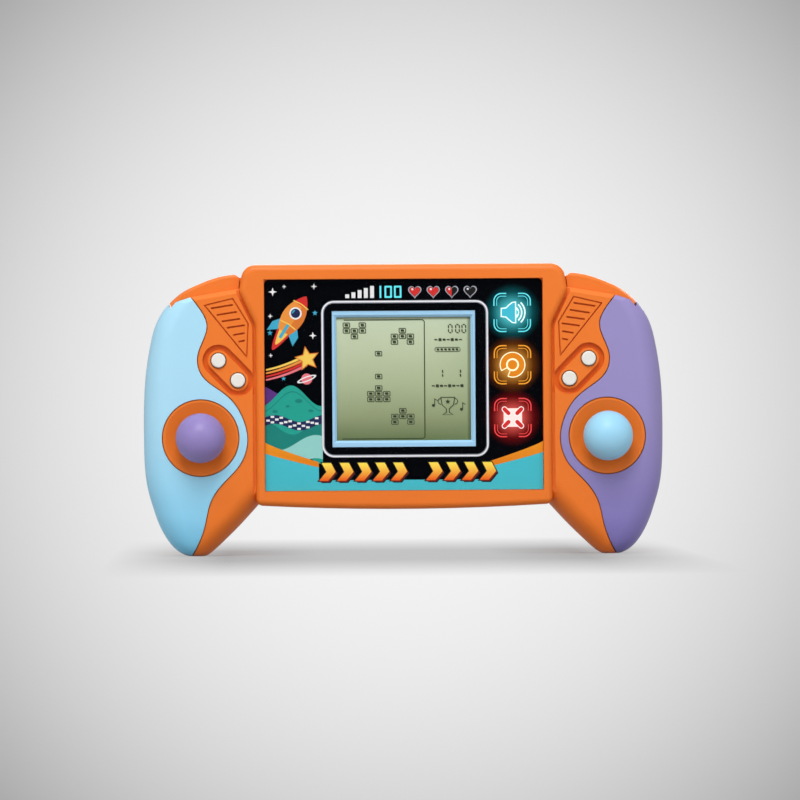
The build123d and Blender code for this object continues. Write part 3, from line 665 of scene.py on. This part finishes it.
PANEL_INKS = (
    # bright and shade are a painted highlight and painted shade for the silver frame.
    Ink("silver", (176, 178, 188)), Ink("bright", (246, 246, 248)), Ink("shade", (120, 124, 138)),
    Ink("white", (240, 240, 240)), Ink("black", (8, 9, 12)), Ink("navy", (24, 38, 84)),
    Ink("turquoise", (70, 194, 208)), Ink("orange", (232, 124, 8), 0.0, (248, 158, 30), 30.0, 40.0),
    Ink("rocket", (240, 150, 60)), Ink("rocket_shade", (224, 122, 44)), Ink("teal", (30, 164, 146)),
    Ink("deep_teal", (20, 132, 122)), Ink("mint", (150, 214, 206)), Ink("blue", (64, 172, 206)),
    Ink("yellow", (250, 208, 90)), Ink("red", (218, 44, 40)), Ink("purple", (92, 48, 132)),
    Ink("pink", (240, 120, 130)), Ink("cyan_glow", (96, 226, 236), 0.2),
    Ink("cyan_fill", (62, 186, 208), 0.15), Ink("cyan_pale", (226, 255, 255), 0.3),
    Ink("orange_glow", (244, 160, 40), 0.2), Ink("orange_fill", (226, 132, 14), 0.15),
    Ink("orange_pale", (255, 244, 200), 0.3), Ink("red_glow", (236, 66, 66), 0.2),
    Ink("red_fill", (216, 42, 42), 0.1), Ink("red_pale", (255, 236, 234), 0.3),
    Ink("red_soft", (255, 222, 216), 0.25), Ink("dark_red", (112, 26, 16)),
    Ink("title", (236, 92, 16), 0.1, (254, 222, 80), 26.2, 31.6),
)


class Casing:
    """The carried-over solids, which only get their finishes."""

    def dress(self) -> None:
        """Give every solid its material; a star in a name stands for right and for left."""
        for finish in Palette:
            material = finish.value.build()
            for pattern in WORN_BY[finish]:
                for side in ("right", "left") if "*" in pattern else ("",):
                    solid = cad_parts[pattern.replace("*", side)]
                    solid.data.materials.clear()
                    solid.data.materials.append(material)
            LOG.info("%s: %s", finish.value.name, ", ".join(WORN_BY[finish]))


@dataclass
class PrintedPanel:
    """The black printed film with its picture, symbols and frames; all sizes in millimetres."""

    width: float = 96.3
    height: float = 73.1
    centre: Point = (0.0, 59.05)
    corner: float = 1.6
    window: Point = (49.6, 47.1)
    window_centre: Point = (0.0, 61.1)
    frame_centre: Point = (0.45, 61.1)
    frame_size: Point = (57.9, 54.3)
    film_depth: float = 11.36
    layer: float = 0.012
    symbol_x: float = 37.7
    symbol_heights: Triple = (83.8, 65.7, 47.4)
    inks: dict[str, bpy.types.Material] = field(default_factory=dict)

    def piece(self, name: str, layer: int) -> Piece:
        """Start a piece of ink on a layer."""
        return Piece(name, self.film_depth + self.layer * layer)

    def lay(self, name: str, layer: int, ink: str, *outlines: np.ndarray) -> None:
        """Print filled outlines in one ink."""
        self.piece(name, layer).fill(*outlines).build(self.inks[ink])

    def between(self, name: str, layer: int, ink: str, first: np.ndarray, second: np.ndarray,
                closed: bool = False) -> None:
        """Print the band between two lines in one ink."""
        self.piece(name, layer).strip(first, second, closed).build(self.inks[ink])

    def band(self, name: str, layer: int, top: np.ndarray, depth: float, ink: str) -> None:
        """Print a band under a line, as deep as depth."""
        self.between(name, layer, ink, top, top - (0, depth))

    def build(self) -> None:
        """Make the film and every ink on it."""
        self.inks = {ink.name: ink.build() for ink in PANEL_INKS}
        self.film()
        self.frames()
        self.hills()
        self.rocket()
        self.sky()
        self.symbols()
        self.top_row()
        self.lower_waves()
        self.title_row()

    def film(self) -> None:
        """The film itself, a thin plate with its window cut out, in place of the plain one."""
        glows = []
        for height, deep, bright in zip(self.symbol_heights, ((20, 150, 160), (190, 100, 10), (190, 24, 24)),
                                        ((110, 230, 236), (246, 190, 90), (255, 120, 110))):
            glows.append(((self.symbol_x, height), 10.4, deep, 0.95))
            glows.append(((self.symbol_x, height), 7.4, bright, 0.75))
        outer = rounded(self.centre, self.width, self.height, self.corner)
        inner = rounded(self.window_centre, *self.window, 0.05)
        ink = PrintedFilm("film_ink", glows=tuple(glows)).build()
        film = self.piece("film", 0).strip(outer, inner, True).build(ink, 0.15)
        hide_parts("printed_panel")

    def frames(self) -> None:
        """The silver frame round the window: a grey band with a bright line that is a painted highlight and a dark
        inner edge that is painted shade.
        """
        width, height = self.frame_size
        # The bright line is a painted highlight and the shade line painted shade, in place of a bevel.
        for name, layer, inset, line in (("silver", 7, 0.0, 0.98), ("bright", 8, 0.2, 0.4), ("shade", 8, 0.78, 0.2)):
            piece = self.piece(f"{name}_frame", layer)
            piece.frame_line(self.frame_centre, width - 2 * inset, height - 2 * inset, 4.3 - inset, line)
            piece.build(self.inks[f"{name}"])

    def curve(self, base: float, rise: float, wave: float, phase: float, start: float = -48.1,
              end: float = -28.2) -> np.ndarray:
        """Line across the left strip: a base height plus a sine of rise, with wave radians a millimetre."""
        x = np.linspace(start, end, 40)
        return np.column_stack([x, base + rise * np.sin(wave * (x + 48) + phase)])

    def hills(self) -> None:
        """Rolling hills in teal and mint, a checked ribbon and a purple hill behind."""
        self.band("far_hill", 1, self.curve(57.4, 1.5, 0.42, 2.2, -48.1, -39.0), 8.0, "purple")
        self.band("hill", 2, self.curve(55.4, 3.6, 0.30, -1.1), 20.0, "teal")
        self.band("hill_rim", 3, self.curve(53.6, 3.4, 0.30, -1.25), 0.35, "deep_teal")
        spots = self.piece("hill_spots", 3)
        for x, z, r in ((-44.6, 50.0, 1.0), (-36.4, 53.6, 1.3), (-32.2, 50.2, 0.9), (-40.2, 51.8, 0.7)):
            spots.fill(circle((x, z), r, 24) * (1, 0.55) + (0, z * 0.45))
        spots.build(self.inks["deep_teal"])
        self.band("near_hill", 4, self.curve(44.2, 2.2, 0.33, 1.6), 9.0, "deep_teal")
        self.band("mint_hill", 5, self.curve(39.2, 2.6, 0.24, -2.6, -43.0), 8.0, "mint")
        ribbon = self.curve(47.6, 1.2, 0.36, 0.4)
        self.band("ribbon", 5, ribbon, 3.0, "navy")
        checks = self.piece("ribbon_checks", 6)
        for row in range(3):
            for number in range(12):
                place = ribbon[2 + number * 3] - (0, 0.55 + 0.95 * row)
                if (row + number) % 2:
                    checks.fill(box_points(place, 1.2, 0.72))
        checks.build(self.inks["white"])

    def rocket(self) -> None:
        """A rocket that climbs to the right, drawn from its middle along and across."""
        centre, lean = (-38.2, 82.6), 57.0

        def side(share: np.ndarray, half: float, first: float, last: float, power: float, start: float) -> np.ndarray:
            """Edge: half times a power of the sine of the share's part of a half turn."""
            across = half * np.sin(np.pi * (start + (1 - start) * share)) ** power
            return np.column_stack([first + (last - first) * share, across])

        share = np.linspace(0, 0.999, 32)
        hull = side(share, 3.9, -6.0, 8.6, 0.8, 0.16)
        taper = (1.001 - share) ** 0.6
        outer = np.column_stack([-5.6 - 7.8 * share, 2.5 * taper])
        inner = np.column_stack([-5.6 - 5.6 * share, 1.8 * taper])
        shapes = (("flame_outer", 1, outer, 1.0, -1.0, "red"), ("flame", 2, inner, 1.0, -1.0, "yellow"),
                  ("hull", 3, hull, 1.0, -1.0, "rocket"),
                  ("hull_shade", 4, hull, -1.0, -0.25, "rocket_shade"),
                  ("nose", 5, hull[23:], 1.0, -1.0, "red"))
        for name, layer, edge, first, second, ink in shapes:
            sides = (turned(edge * (1, part), centre, lean) for part in (first, second))
            self.between(f"rocket_{name}", layer, ink, *sides)
        fins = self.piece("rocket_fins", 2)
        for sign in (-1, 1):
            fin = np.array([(-2.4, 3.2), (-5.0, 5.3), (-8.6, 5.3), (-6.2, 2.2)]) * (1, sign)
            fins.fill(turned(fin, centre, lean))
        fins.build(self.inks["blue"])
        self.lay("rocket_middle_fin", 5, "blue", turned(capsule((-8.0, 0.0), (-3.4, 0.0), 1.1), centre, lean))
        port = tuple(turned(np.array([(1.6, 0.0)]), centre, lean)[0])
        self.piece("rocket_port_rim", 5).ring(port, 2.15, 1.6).build(self.inks["white"])
        self.lay("rocket_port", 5, "navy", circle(port, 1.6))
        self.piece("rocket_port_shine", 6).arc(port, 1.0, 0.4, 100, 80).build(self.inks["blue"])
        belts = self.piece("rocket_belts", 6)
        for along, half in ((-3.2, 3.1), (5.0, 3.0)):
            belts.line(turned(np.array([(along, -half), (along + 0.35, 0.0), (along, half)]), centre, lean), 0.4)
        belts.build(self.inks["yellow"])

    def sky(self) -> None:
        """Stars, a striped shooting star and a ringed moon between the rocket and the hills."""
        head = (-33.4, 68.2)
        for number, ink in enumerate(("yellow", "rocket", "red", "pink")):
            t = np.linspace(0, 1, 24)
            drop = 1.15 * number
            x = head[0] - 14.3 * t
            z = head[1] + 1.4 - drop - 5.2 * t - 2.4 * t * (1 - t)
            half = 0.52 * (1 - 0.45 * t)
            self.between(f"tail_{number}", 1, ink, *(np.column_stack([x, z + edge]) for edge in (half, half * -1)))
        self.lay("shooting_star_edge", 2, "rocket_shade", star(head, 4.5, 2.1, 5, 100))
        self.lay("shooting_star", 3, "yellow", star(head, 3.8, 1.7, 5, 100))
        moon = (-33.6, 61.2)
        self.lay("moon", 3, "pink", circle(moon, 1.9))
        outer, inner = (turned(circle((0, 0), 1.0, 40) * size, moon, 20) for size in ((3.5, 0.9), (2.7, 0.5)))
        self.between("moon_ring", 4, "white", outer, inner, True)
        small = ((-45.2, 91.4, 1.5), (-30.9, 93.2, 1.1), (-46.1, 83.0, 0.9), (-31.4, 76.2, 1.3), (-41.2, 93.2, 0.8),
                 (-46.0, 69.4, 0.8))
        self.lay("small_stars", 2, "white", *(star((x, z), r, r * 0.34, 4) for x, z, r in small))
        self.lay("blue_stars", 2, "blue", star((-46.2, 77.2), 1.0, 0.42, 5), star((-30.6, 84.0), 1.0, 0.44, 5),
                 star((-41.6, 61.4), 0.9, 0.35, 5))

    def brackets(self, centre: Point, inset: float) -> list[np.ndarray]:
        """Four rounded corner lines: a leg, a quarter circle and a leg, drawn in by inset."""
        paths = []
        for number, (sx, sz) in enumerate(CORNERS):
            middle = (centre[0] + sx * 3.7, centre[1] + sz * 4.0)
            bend = circle(middle, 2.6 - inset, 12, 90.0 * number, 90.0)
            away = ((0, -sz), (-sx, 0)) if number % 2 == 0 else ((-sx, 0), (0, -sz))
            paths.append(np.vstack([bend[0] + np.array(away[0]) * 1.7, bend, bend[-1] + np.array(away[1]) * 1.7]))
        return paths

    def symbols(self) -> None:
        """Three glowing symbols at the right: sound, start again and stop."""
        drawings = {"cyan": self.cyan_symbol, "orange": self.orange_symbol, "red": self.red_symbol}
        for (name, draw), height in zip(drawings.items(), self.symbol_heights):
            centre = (self.symbol_x, height)
            bracket = self.piece(f"{name}_brackets", 2)
            for inset, width in ((0.0, 0.42), (0.95, 0.24)):
                for path in self.brackets(centre, inset):
                    bracket.line(path, width)
            bracket.build(self.inks[f"{name}_glow"])
            draw(*centre)

    def cyan_symbol(self, x: float, z: float) -> None:
        """Loudspeaker with two sound lines."""
        x += 0.5
        low = np.array([(-4.3, -1.4), (-2.6, -1.6), (-1.6, -2.6), (-0.4, -3.5), (0.7, -3.6)])
        horn = np.vstack([low, low[::-1] * (1, -1)]) + (x, z)
        self.lay("sound_horn", 3, "cyan_fill", horn)
        edge = self.piece("sound_edge", 4).line(horn, 0.4, True)
        edge.strip(circle((x - 0.6, z), 2.5, 16, -52, 104), circle((x + 0.7, z), 0.9, 16, -80, 160))
        edge.arc((x - 0.9, z), 3.7, 0.5, -48, 96).arc((x - 0.9, z), 4.8, 0.5, -46, 92)
        edge.build(self.inks["cyan_pale"])

    def orange_symbol(self, x: float, z: float) -> None:
        """Thick open ring round a smaller one."""
        self.piece("again_ring", 3).arc((x, z), 3.2, 2.2, -112, 320, 48).build(self.inks["orange_fill"])
        self.lay("again_middle", 3, "orange_fill", circle((x, z), 1.5, 32))
        edge = self.piece("again_edge", 4).ring((x, z), 2.25, 1.65)
        edge.arc((x, z), 4.3, 0.36, -112, 320, 48)
        for angle in (-112, 208):
            a = math.radians(angle)
            tip = np.array([math.cos(a), math.sin(a)])
            edge.line(np.array([(x, z) + tip * 2.1, (x, z) + tip * 4.4]), 0.36)
        edge.build(self.inks["orange_pale"])

    def red_symbol(self, x: float, z: float) -> None:
        """Four bars that point to the middle of a pale square, each with a pale edge."""
        self.lay("stop_square", 3, "red_soft", rounded((x, z), 6.4, 6.4, 1.2))
        edges, bars = self.piece("stop_edges", 4), self.piece("stop_bars", 5)
        for sx in (-1, 1):
            for sz in (-1, 1):
                near, far = (x + sx * 1.5, z + sz * 1.5), (x + sx * 2.9, z + sz * 2.9)
                edges.fill(capsule(near, far, 1.95))
                bars.fill(capsule(near, far, 1.4))
        edges.build(self.inks["red_pale"])
        bars.build(self.inks["red_fill"])

    def top_row(self) -> None:
        """Level bars, a number and four hearts along the top: two full, one half, one empty."""
        bars = self.piece("level_bars", 2)
        for number in range(5):
            height = 1.3 + 0.72 * number
            bars.fill(box_points((-19.4 + 2.15 * number, 89.1 + height / 2), 1.35, height))
        bars.build(self.inks["white"])
        number = self.piece("level_number", 2)
        number.fill(box_points((-7.9, 91.2), 0.62, 4.2))
        for x in (-5.2, -1.9):
            number.frame_line((x, 91.2), 2.6, 4.2, 0.3, 0.62)
        number.build(self.inks["cyan_glow"])
        edges, blanks, red, shine = (self.piece(f"heart_{name}", layer) for name, layer in
                                     (("edges", 2), ("blanks", 3), ("red", 4), ("shine", 5)))
        for number in range(4):
            centre = (4.0 + 6.4 * number, 91.3)
            edges.fill(heart(centre, 2.3))
            blanks.fill(heart(centre, 1.95))
            if number < 3:
                red.fill(heart(centre, 1.8, 0.0, 2.0) if number < 2 else heart(centre, 1.8, 1.0, 2.0))
            shine.fill(circle((centre[0] - 0.85, centre[1] + 0.75), 0.36, 12))
        for piece, ink in ((edges, "silver"), (blanks, "black"), (red, "red"), (shine, "white")):
            piece.build(self.inks[ink])

    def lower_waves(self) -> None:
        """The turquoise field at the bottom and the orange stripes that swoop into it."""
        low_edge, field_top = self.centre[1] - self.height / 2, 26.1
        for name, start, end in (("left", -48.1, -29.6), ("right", 48.1, 29.6)):
            share = np.linspace(0, 1, 32)
            x = start + (end - start) * share
            top, low = 39.3 - 6.9 * share ** 0.85, 35.5 - 4.9 * share ** 0.9
            edge, line, floor = (np.column_stack([x, z]) for z in (top, low, low * 0 + field_top))
            self.between(f"{name}_stripe", 7, "orange", edge, line)
            self.between(f"{name}_field", 6, "turquoise", line, floor)
        band = rounded((0.0, (low_edge + field_top) / 2 + 0.01), self.width - 0.1, field_top - low_edge, 0.4)
        self.lay("bottom_field", 5, "turquoise", band)

    def title_row(self) -> None:
        """Two groups of bold arrow blocks near the bottom, each block on a dark shade and a black edge."""
        edge, shade, blocks = (self.piece(f"title_{name}", layer) for name, layer in
                               (("edge", 8), ("shade", 9), ("blocks", 10)))
        low, high, slant, wide, notch, pitch = 25.9, 32.1, 1.0, 5.3, 2.1, 6.2
        middle = (low + high) / 2
        for x in [-29.6 + pitch * step for step in range(5)] + [7.4 + pitch * step for step in range(4)]:
            shape = np.array([(x, low), (x + wide - notch, low), (x + wide + slant / 2, middle),
                              (x + wide - notch + slant, high), (x + slant, high), (x + notch + slant / 2, middle)])
            edge.fill(shape + (0.75, -0.75)).line(shape, 0.7, True)
            shade.fill(shape + (0.45, -0.45))
            blocks.fill(shape)
        for piece, ink in ((edge, "black"), (shade, "dark_red"), (blocks, "title")):
            piece.build(self.inks[ink])


@dataclass
class Display:
    """What the display shows, in dark segments just in front of its glass; sizes in millimetres."""

    face_depth: float = 10.03
    column: Point = (-19.8, 2.77)
    row: Point = (79.82, -1.983)
    cells: tuple[tuple[int, str], ...] = (
        (0, "02"), (1, "0127"), (2, "1678"), (3, "68"), (5, "4"), (9, "4"), (11, "4"), (12, "345"), (13, "345"),
        (15, "7"), (16, "678"), (17, "68"))

    def build(self) -> None:
        """Make the segments and the soft shadow that they throw on the reflector."""
        dark = Ink("segment", (52, 60, 42)).build()
        soft = Ink("segment_shadow", (120, 132, 98)).build()
        for name, depth, material, shift in (("segments", 0.02, dark, (0.0, 0.0)),
                                             ("segment_shadows", 0.0, soft, (0.16, -0.2))):
            piece = Piece(name, self.face_depth + depth)
            self.playfield(piece)
            self.side_column(piece)
            piece.points = [points + shift for points in piece.points]
            piece.build(material, 0.01, "display_glass")
        lines = Piece("playfield_lines", self.face_depth + 0.03)
        path = np.array([(-21.4, 40.35), (6.6, 40.35), (7.25, 40.9), (7.25, 80.9), (6.6, 81.5), (-20.6, 81.5)])
        lines.line(path, 0.36)
        lines.build(Ink("line", (62, 74, 46)).build(), 0.01, "display_glass")

    def playfield(self, piece: Piece) -> None:
        """Groups of cells, each a rectangular line round a filled middle."""
        for row, columns in self.cells:
            for column in columns:
                place = (self.column[0] + self.column[1] * int(column), self.row[0] + self.row[1] * row)
                piece.frame_line(place, 2.45, 1.72, 0.28, 0.2)
                piece.fill(rounded(place, 1.15, 0.75, 0.2, 4))

    def side_column(self, piece: Piece) -> None:
        """Score digits, level marks and small marks at the right of the playfield."""
        for value, x in zip("000", (16.2, 18.7, 20.9)):
            piece.fill(*digit(value, (x, 78.4), 1.25, 2.8, 0.32))
        for x in (13.4, 19.6):
            piece.fill(*digit("1", (x - 0.4, 62.9), 0.9, 2.8, 0.38))
        piece.frame_line((15.2, 71.2), 8.9, 1.55, 0.7, 0.16)
        for number in range(6):
            piece.fill(box_points((11.9 + 1.32 * number, 71.2), 0.8, 0.6))
        for start, count, z in ((11.2, 7, 74.6), (10.2, 8, 58.6)):
            for number in range(count):
                piece.fill(box_points((start + 1.42 * number, z), 1.0, 0.34 + 0.3 * ((number * 5) % 3)))
        self.trophy(piece, (15.2, 51.6))

    def trophy(self, piece: Piece, centre: Point) -> None:
        """A cup with two handles on a foot, beside two notes."""
        x, z = centre
        half = np.array([(2.4, 3.0), (2.0, 0.4), (0.5, -1.0), (0.5, -2.2), (1.8, -3.0)])
        piece.line(np.vstack([half, half[::-1] * (-1, 1)]) + (x, z), 0.26, True)
        for sign in (-1, 1):
            piece.arc((x + sign * 2.4, z + 1.6), 1.0, 0.24, 90, -180 * sign)
        piece.fill(star((x, z + 1.5), 0.9, 0.4, 5))
        for shift, rise in ((-5.0, 0.2), (4.7, -1.2)):
            piece.fill(circle((x + shift, z + rise), 0.5, 16))
            piece.line(np.array([(0.45, 0.0), (0.45, 2.3), (1.4, 1.7)]) + (x + shift, z + rise), 0.22)


@dataclass(frozen=True)
class Lamp:
    """A square lamp that points at the object: place and size in metres, power in watts."""

    name: str
    place: Triple
    size: float
    power: float


LAMPS = (
    Lamp("key", (-0.15, -1.15, 1.45), 0.9, 20.5), Lamp("left_fill", (-0.95, -1.25, 0.6), 0.9, 3.3),
    Lamp("right_fill", (0.95, -1.25, 0.6), 0.9, 3.3), Lamp("top", (0.0, 0.15, 1.2), 0.7, 1.5),
    Lamp("back", (0.2, 1.3, 0.8), 1.0, 12.0),
)


@dataclass
class Studio:
    """Floor, backdrop, lamps and camera."""

    lens_mm: float = 250.0
    pixels_per_mm: float = 2.885
    azimuth: float = -1.5
    elevation: float = 0.0
    roll: float = -0.38
    aim: Triple = (0.0, -4.0, 50.4)
    shift_px: Point = (3.8, 9.6)
    middle_level: float = 0.963
    edge_shade: float = 0.125
    lowest_level: float = 0.67
    fall_power: float = 2.5
    shade_depth: float = 0.19
    shade_reach: Point = (0.102, 0.25)
    shade_fade: Point = (0.04, 0.19)
    lit_share: float = 0.62
    lit_seen_extra: float = 0.1
    world_strength: float = 0.5
    world_seen_extra: float = 0.18

    def build(self) -> None:
        """Make the stage, the light and the camera."""
        self.backdrop()
        self.lamps()
        self.camera()

    def distance(self) -> float:
        """Metres from the camera to its aim: the lens over the sensor, times the width that the frame takes in."""
        return self.lens_mm / SENSOR_MM * PIXELS / self.pixels_per_mm * MM

    def axes(self) -> tuple[Vector, Vector, Vector]:
        """The camera's right, up and back directions, before its small roll."""
        az, el = math.radians(self.azimuth), math.radians(self.elevation)
        back = Vector((math.sin(az) * math.cos(el), -math.cos(az) * math.cos(el), math.sin(el)))
        right = Vector((math.cos(az), math.sin(az), 0.0))
        return right, back.cross(right), back

    def backdrop(self) -> None:
        """A pale floor that curves up into a wall behind: flat, a quarter circle, then upright."""
        reach, front, radius, back, top = 3.5, -3.2, 0.8, 2.6, 3.0
        angle = np.linspace(0, np.pi / 2, 24)
        y = np.concatenate([[front], back + radius * np.sin(angle), [back + radius]])
        z = np.concatenate([[0], radius - radius * np.cos(angle), [top]])
        points = np.vstack([np.column_stack([np.full(len(y), x), y, z]) for x in (-reach, reach)])
        count, step = len(y), np.arange(len(y) - 1)
        mesh = bpy.data.meshes.new("backdrop")
        faces = np.column_stack([step, count + step, count + step + 1, step + 1])
        mesh.from_pydata(points.tolist(), [], faces.tolist())
        mesh.shade_smooth()
        mesh.materials.append(self.paper())
        placed("backdrop", mesh)

    def paper(self) -> bpy.types.Material:
        """Pale paper, lit near the object and plain beyond; painted shade darkens it slowly away from the middle, and
        a painted shadow darkens it round the object.
        """
        shader = Shader("pale_paper")
        right, above, back = self.axes()

        def toward(axis: Vector) -> Expression:
            """Metres from the camera's aim along an axis."""
            steps = [shader.place(index) * axis[index] for index in range(3)]
            return steps[0] + steps[1] + steps[2] - axis.dot(Vector(self.aim) * MM)

        eye = (self.distance() - toward(back)).at_least(0.4)
        half_picture = PIXELS / 2
        half = half_picture / self.pixels_per_mm * MM / self.distance()
        across = toward(right) / eye * (1 / half) + self.shift_px[0] / half_picture
        up = toward(above) / eye * (1 / half) - self.shift_px[1] / half_picture
        radius = ((across * across).clamped() + (up * up).clamped()) ** 0.5
        # Painted shadow: the paper darkens within shade_reach of the object, fading over shade_fade.
        aside, ahead = shader.place(0).size(), shader.place(1).size()
        beside, before = (((limit - value) * (1 / fade)).clamped() for value, limit, fade in
                          zip((aside, ahead), self.shade_reach, self.shade_fade))
        near = beside * before
        # Painted shade towards the edges of the camera's view, and the painted shadow round the object.
        level = self.middle_level - radius ** self.fall_power * self.edge_shade - near * self.shade_depth
        pale = level.at_least(self.lowest_level) ** GAMMA
        tint = shader.blend(pale, BLACK, WHITE)
        ray = shader.node("ShaderNodeLightPath", {}, {})
        seen = (shader.value(ray, "Is Camera Ray") + shader.value(ray, "Is Glossy Ray")
                + shader.value(ray, "Is Transmission Ray")).clamped()
        paint = shader.blend(seen * self.lit_seen_extra + self.lit_share, BLACK, tint)
        lit = shader.node("ShaderNodeBsdfDiffuse", {}, {0: paint})
        plain = shader.node("ShaderNodeEmission", {}, {0: tint, "Strength": 1.0})
        feet = ((aside - 0.03) * (1 / 0.03)).clamped()
        far = 1.0 - near * feet * 0.5
        mix = shader.node("ShaderNodeMixShader", {}, {0: far * seen, 1: lit.outputs[0], 2: plain.outputs[0]})
        shader.tree.links.new(mix.outputs[0], shader.output.inputs["Surface"])
        return shader.material

    def lamps(self) -> None:
        """A large soft lamp high in front, weaker ones at each side, above and behind, and an even pale world."""
        middle = Vector((0, 0, 0.05))
        for entry in LAMPS:
            light = bpy.data.lights.new(entry.name, "AREA")
            light.size = entry.size
            light.energy = entry.power
            lamp = placed(entry.name, light)
            lamp.location = entry.place
            lamp.rotation_euler = (middle - Vector(entry.place)).to_track_quat("-Z", "Y").to_euler()
        world = bpy.data.worlds.new("studio")
        world.use_nodes = True
        nodes, links = world.node_tree.nodes, world.node_tree.links
        nodes["Background"].inputs["Color"].default_value = linear((250, 250, 252))
        ray = nodes.new("ShaderNodeLightPath")
        strength = nodes.new("ShaderNodeMath")
        strength.operation = "MULTIPLY_ADD"
        strength.inputs[1].default_value = self.world_seen_extra
        strength.inputs[2].default_value = self.world_strength
        links.new(ray.outputs["Is Camera Ray"], strength.inputs[0])
        links.new(strength.outputs[0], nodes["Background"].inputs["Strength"])
        bpy.context.scene.world = world

    def camera(self) -> None:
        """Long lens from the front, framed by how many pixels one millimetre of the object takes."""
        data = bpy.data.cameras.new("camera")
        data.lens = self.lens_mm
        data.sensor_width = SENSOR_MM
        data.clip_end = 30.0
        back = self.axes()[2]
        target = Vector(self.aim) * MM
        turn = back.to_track_quat("Z", "Y").to_matrix() @ Matrix.Rotation(math.radians(self.roll), 3, "Z")
        camera = placed("camera", data)
        camera.matrix_world = Matrix.Translation(target + back * self.distance()) @ turn.to_4x4()
        data.shift_x = -self.shift_px[0] / PIXELS
        data.shift_y = self.shift_px[1] / PIXELS
        bpy.context.scene.camera = camera


def main() -> None:
    """Build the looks in order."""
    logging.basicConfig(level=logging.INFO, format="%(name)s: %(message)s")
    bpy.context.scene.view_settings.view_transform = "Standard"
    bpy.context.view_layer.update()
    Studio().build()
    Casing().dress()
    PrintedPanel().build()
    Display().build()


if __name__ == "__main__":
    main()
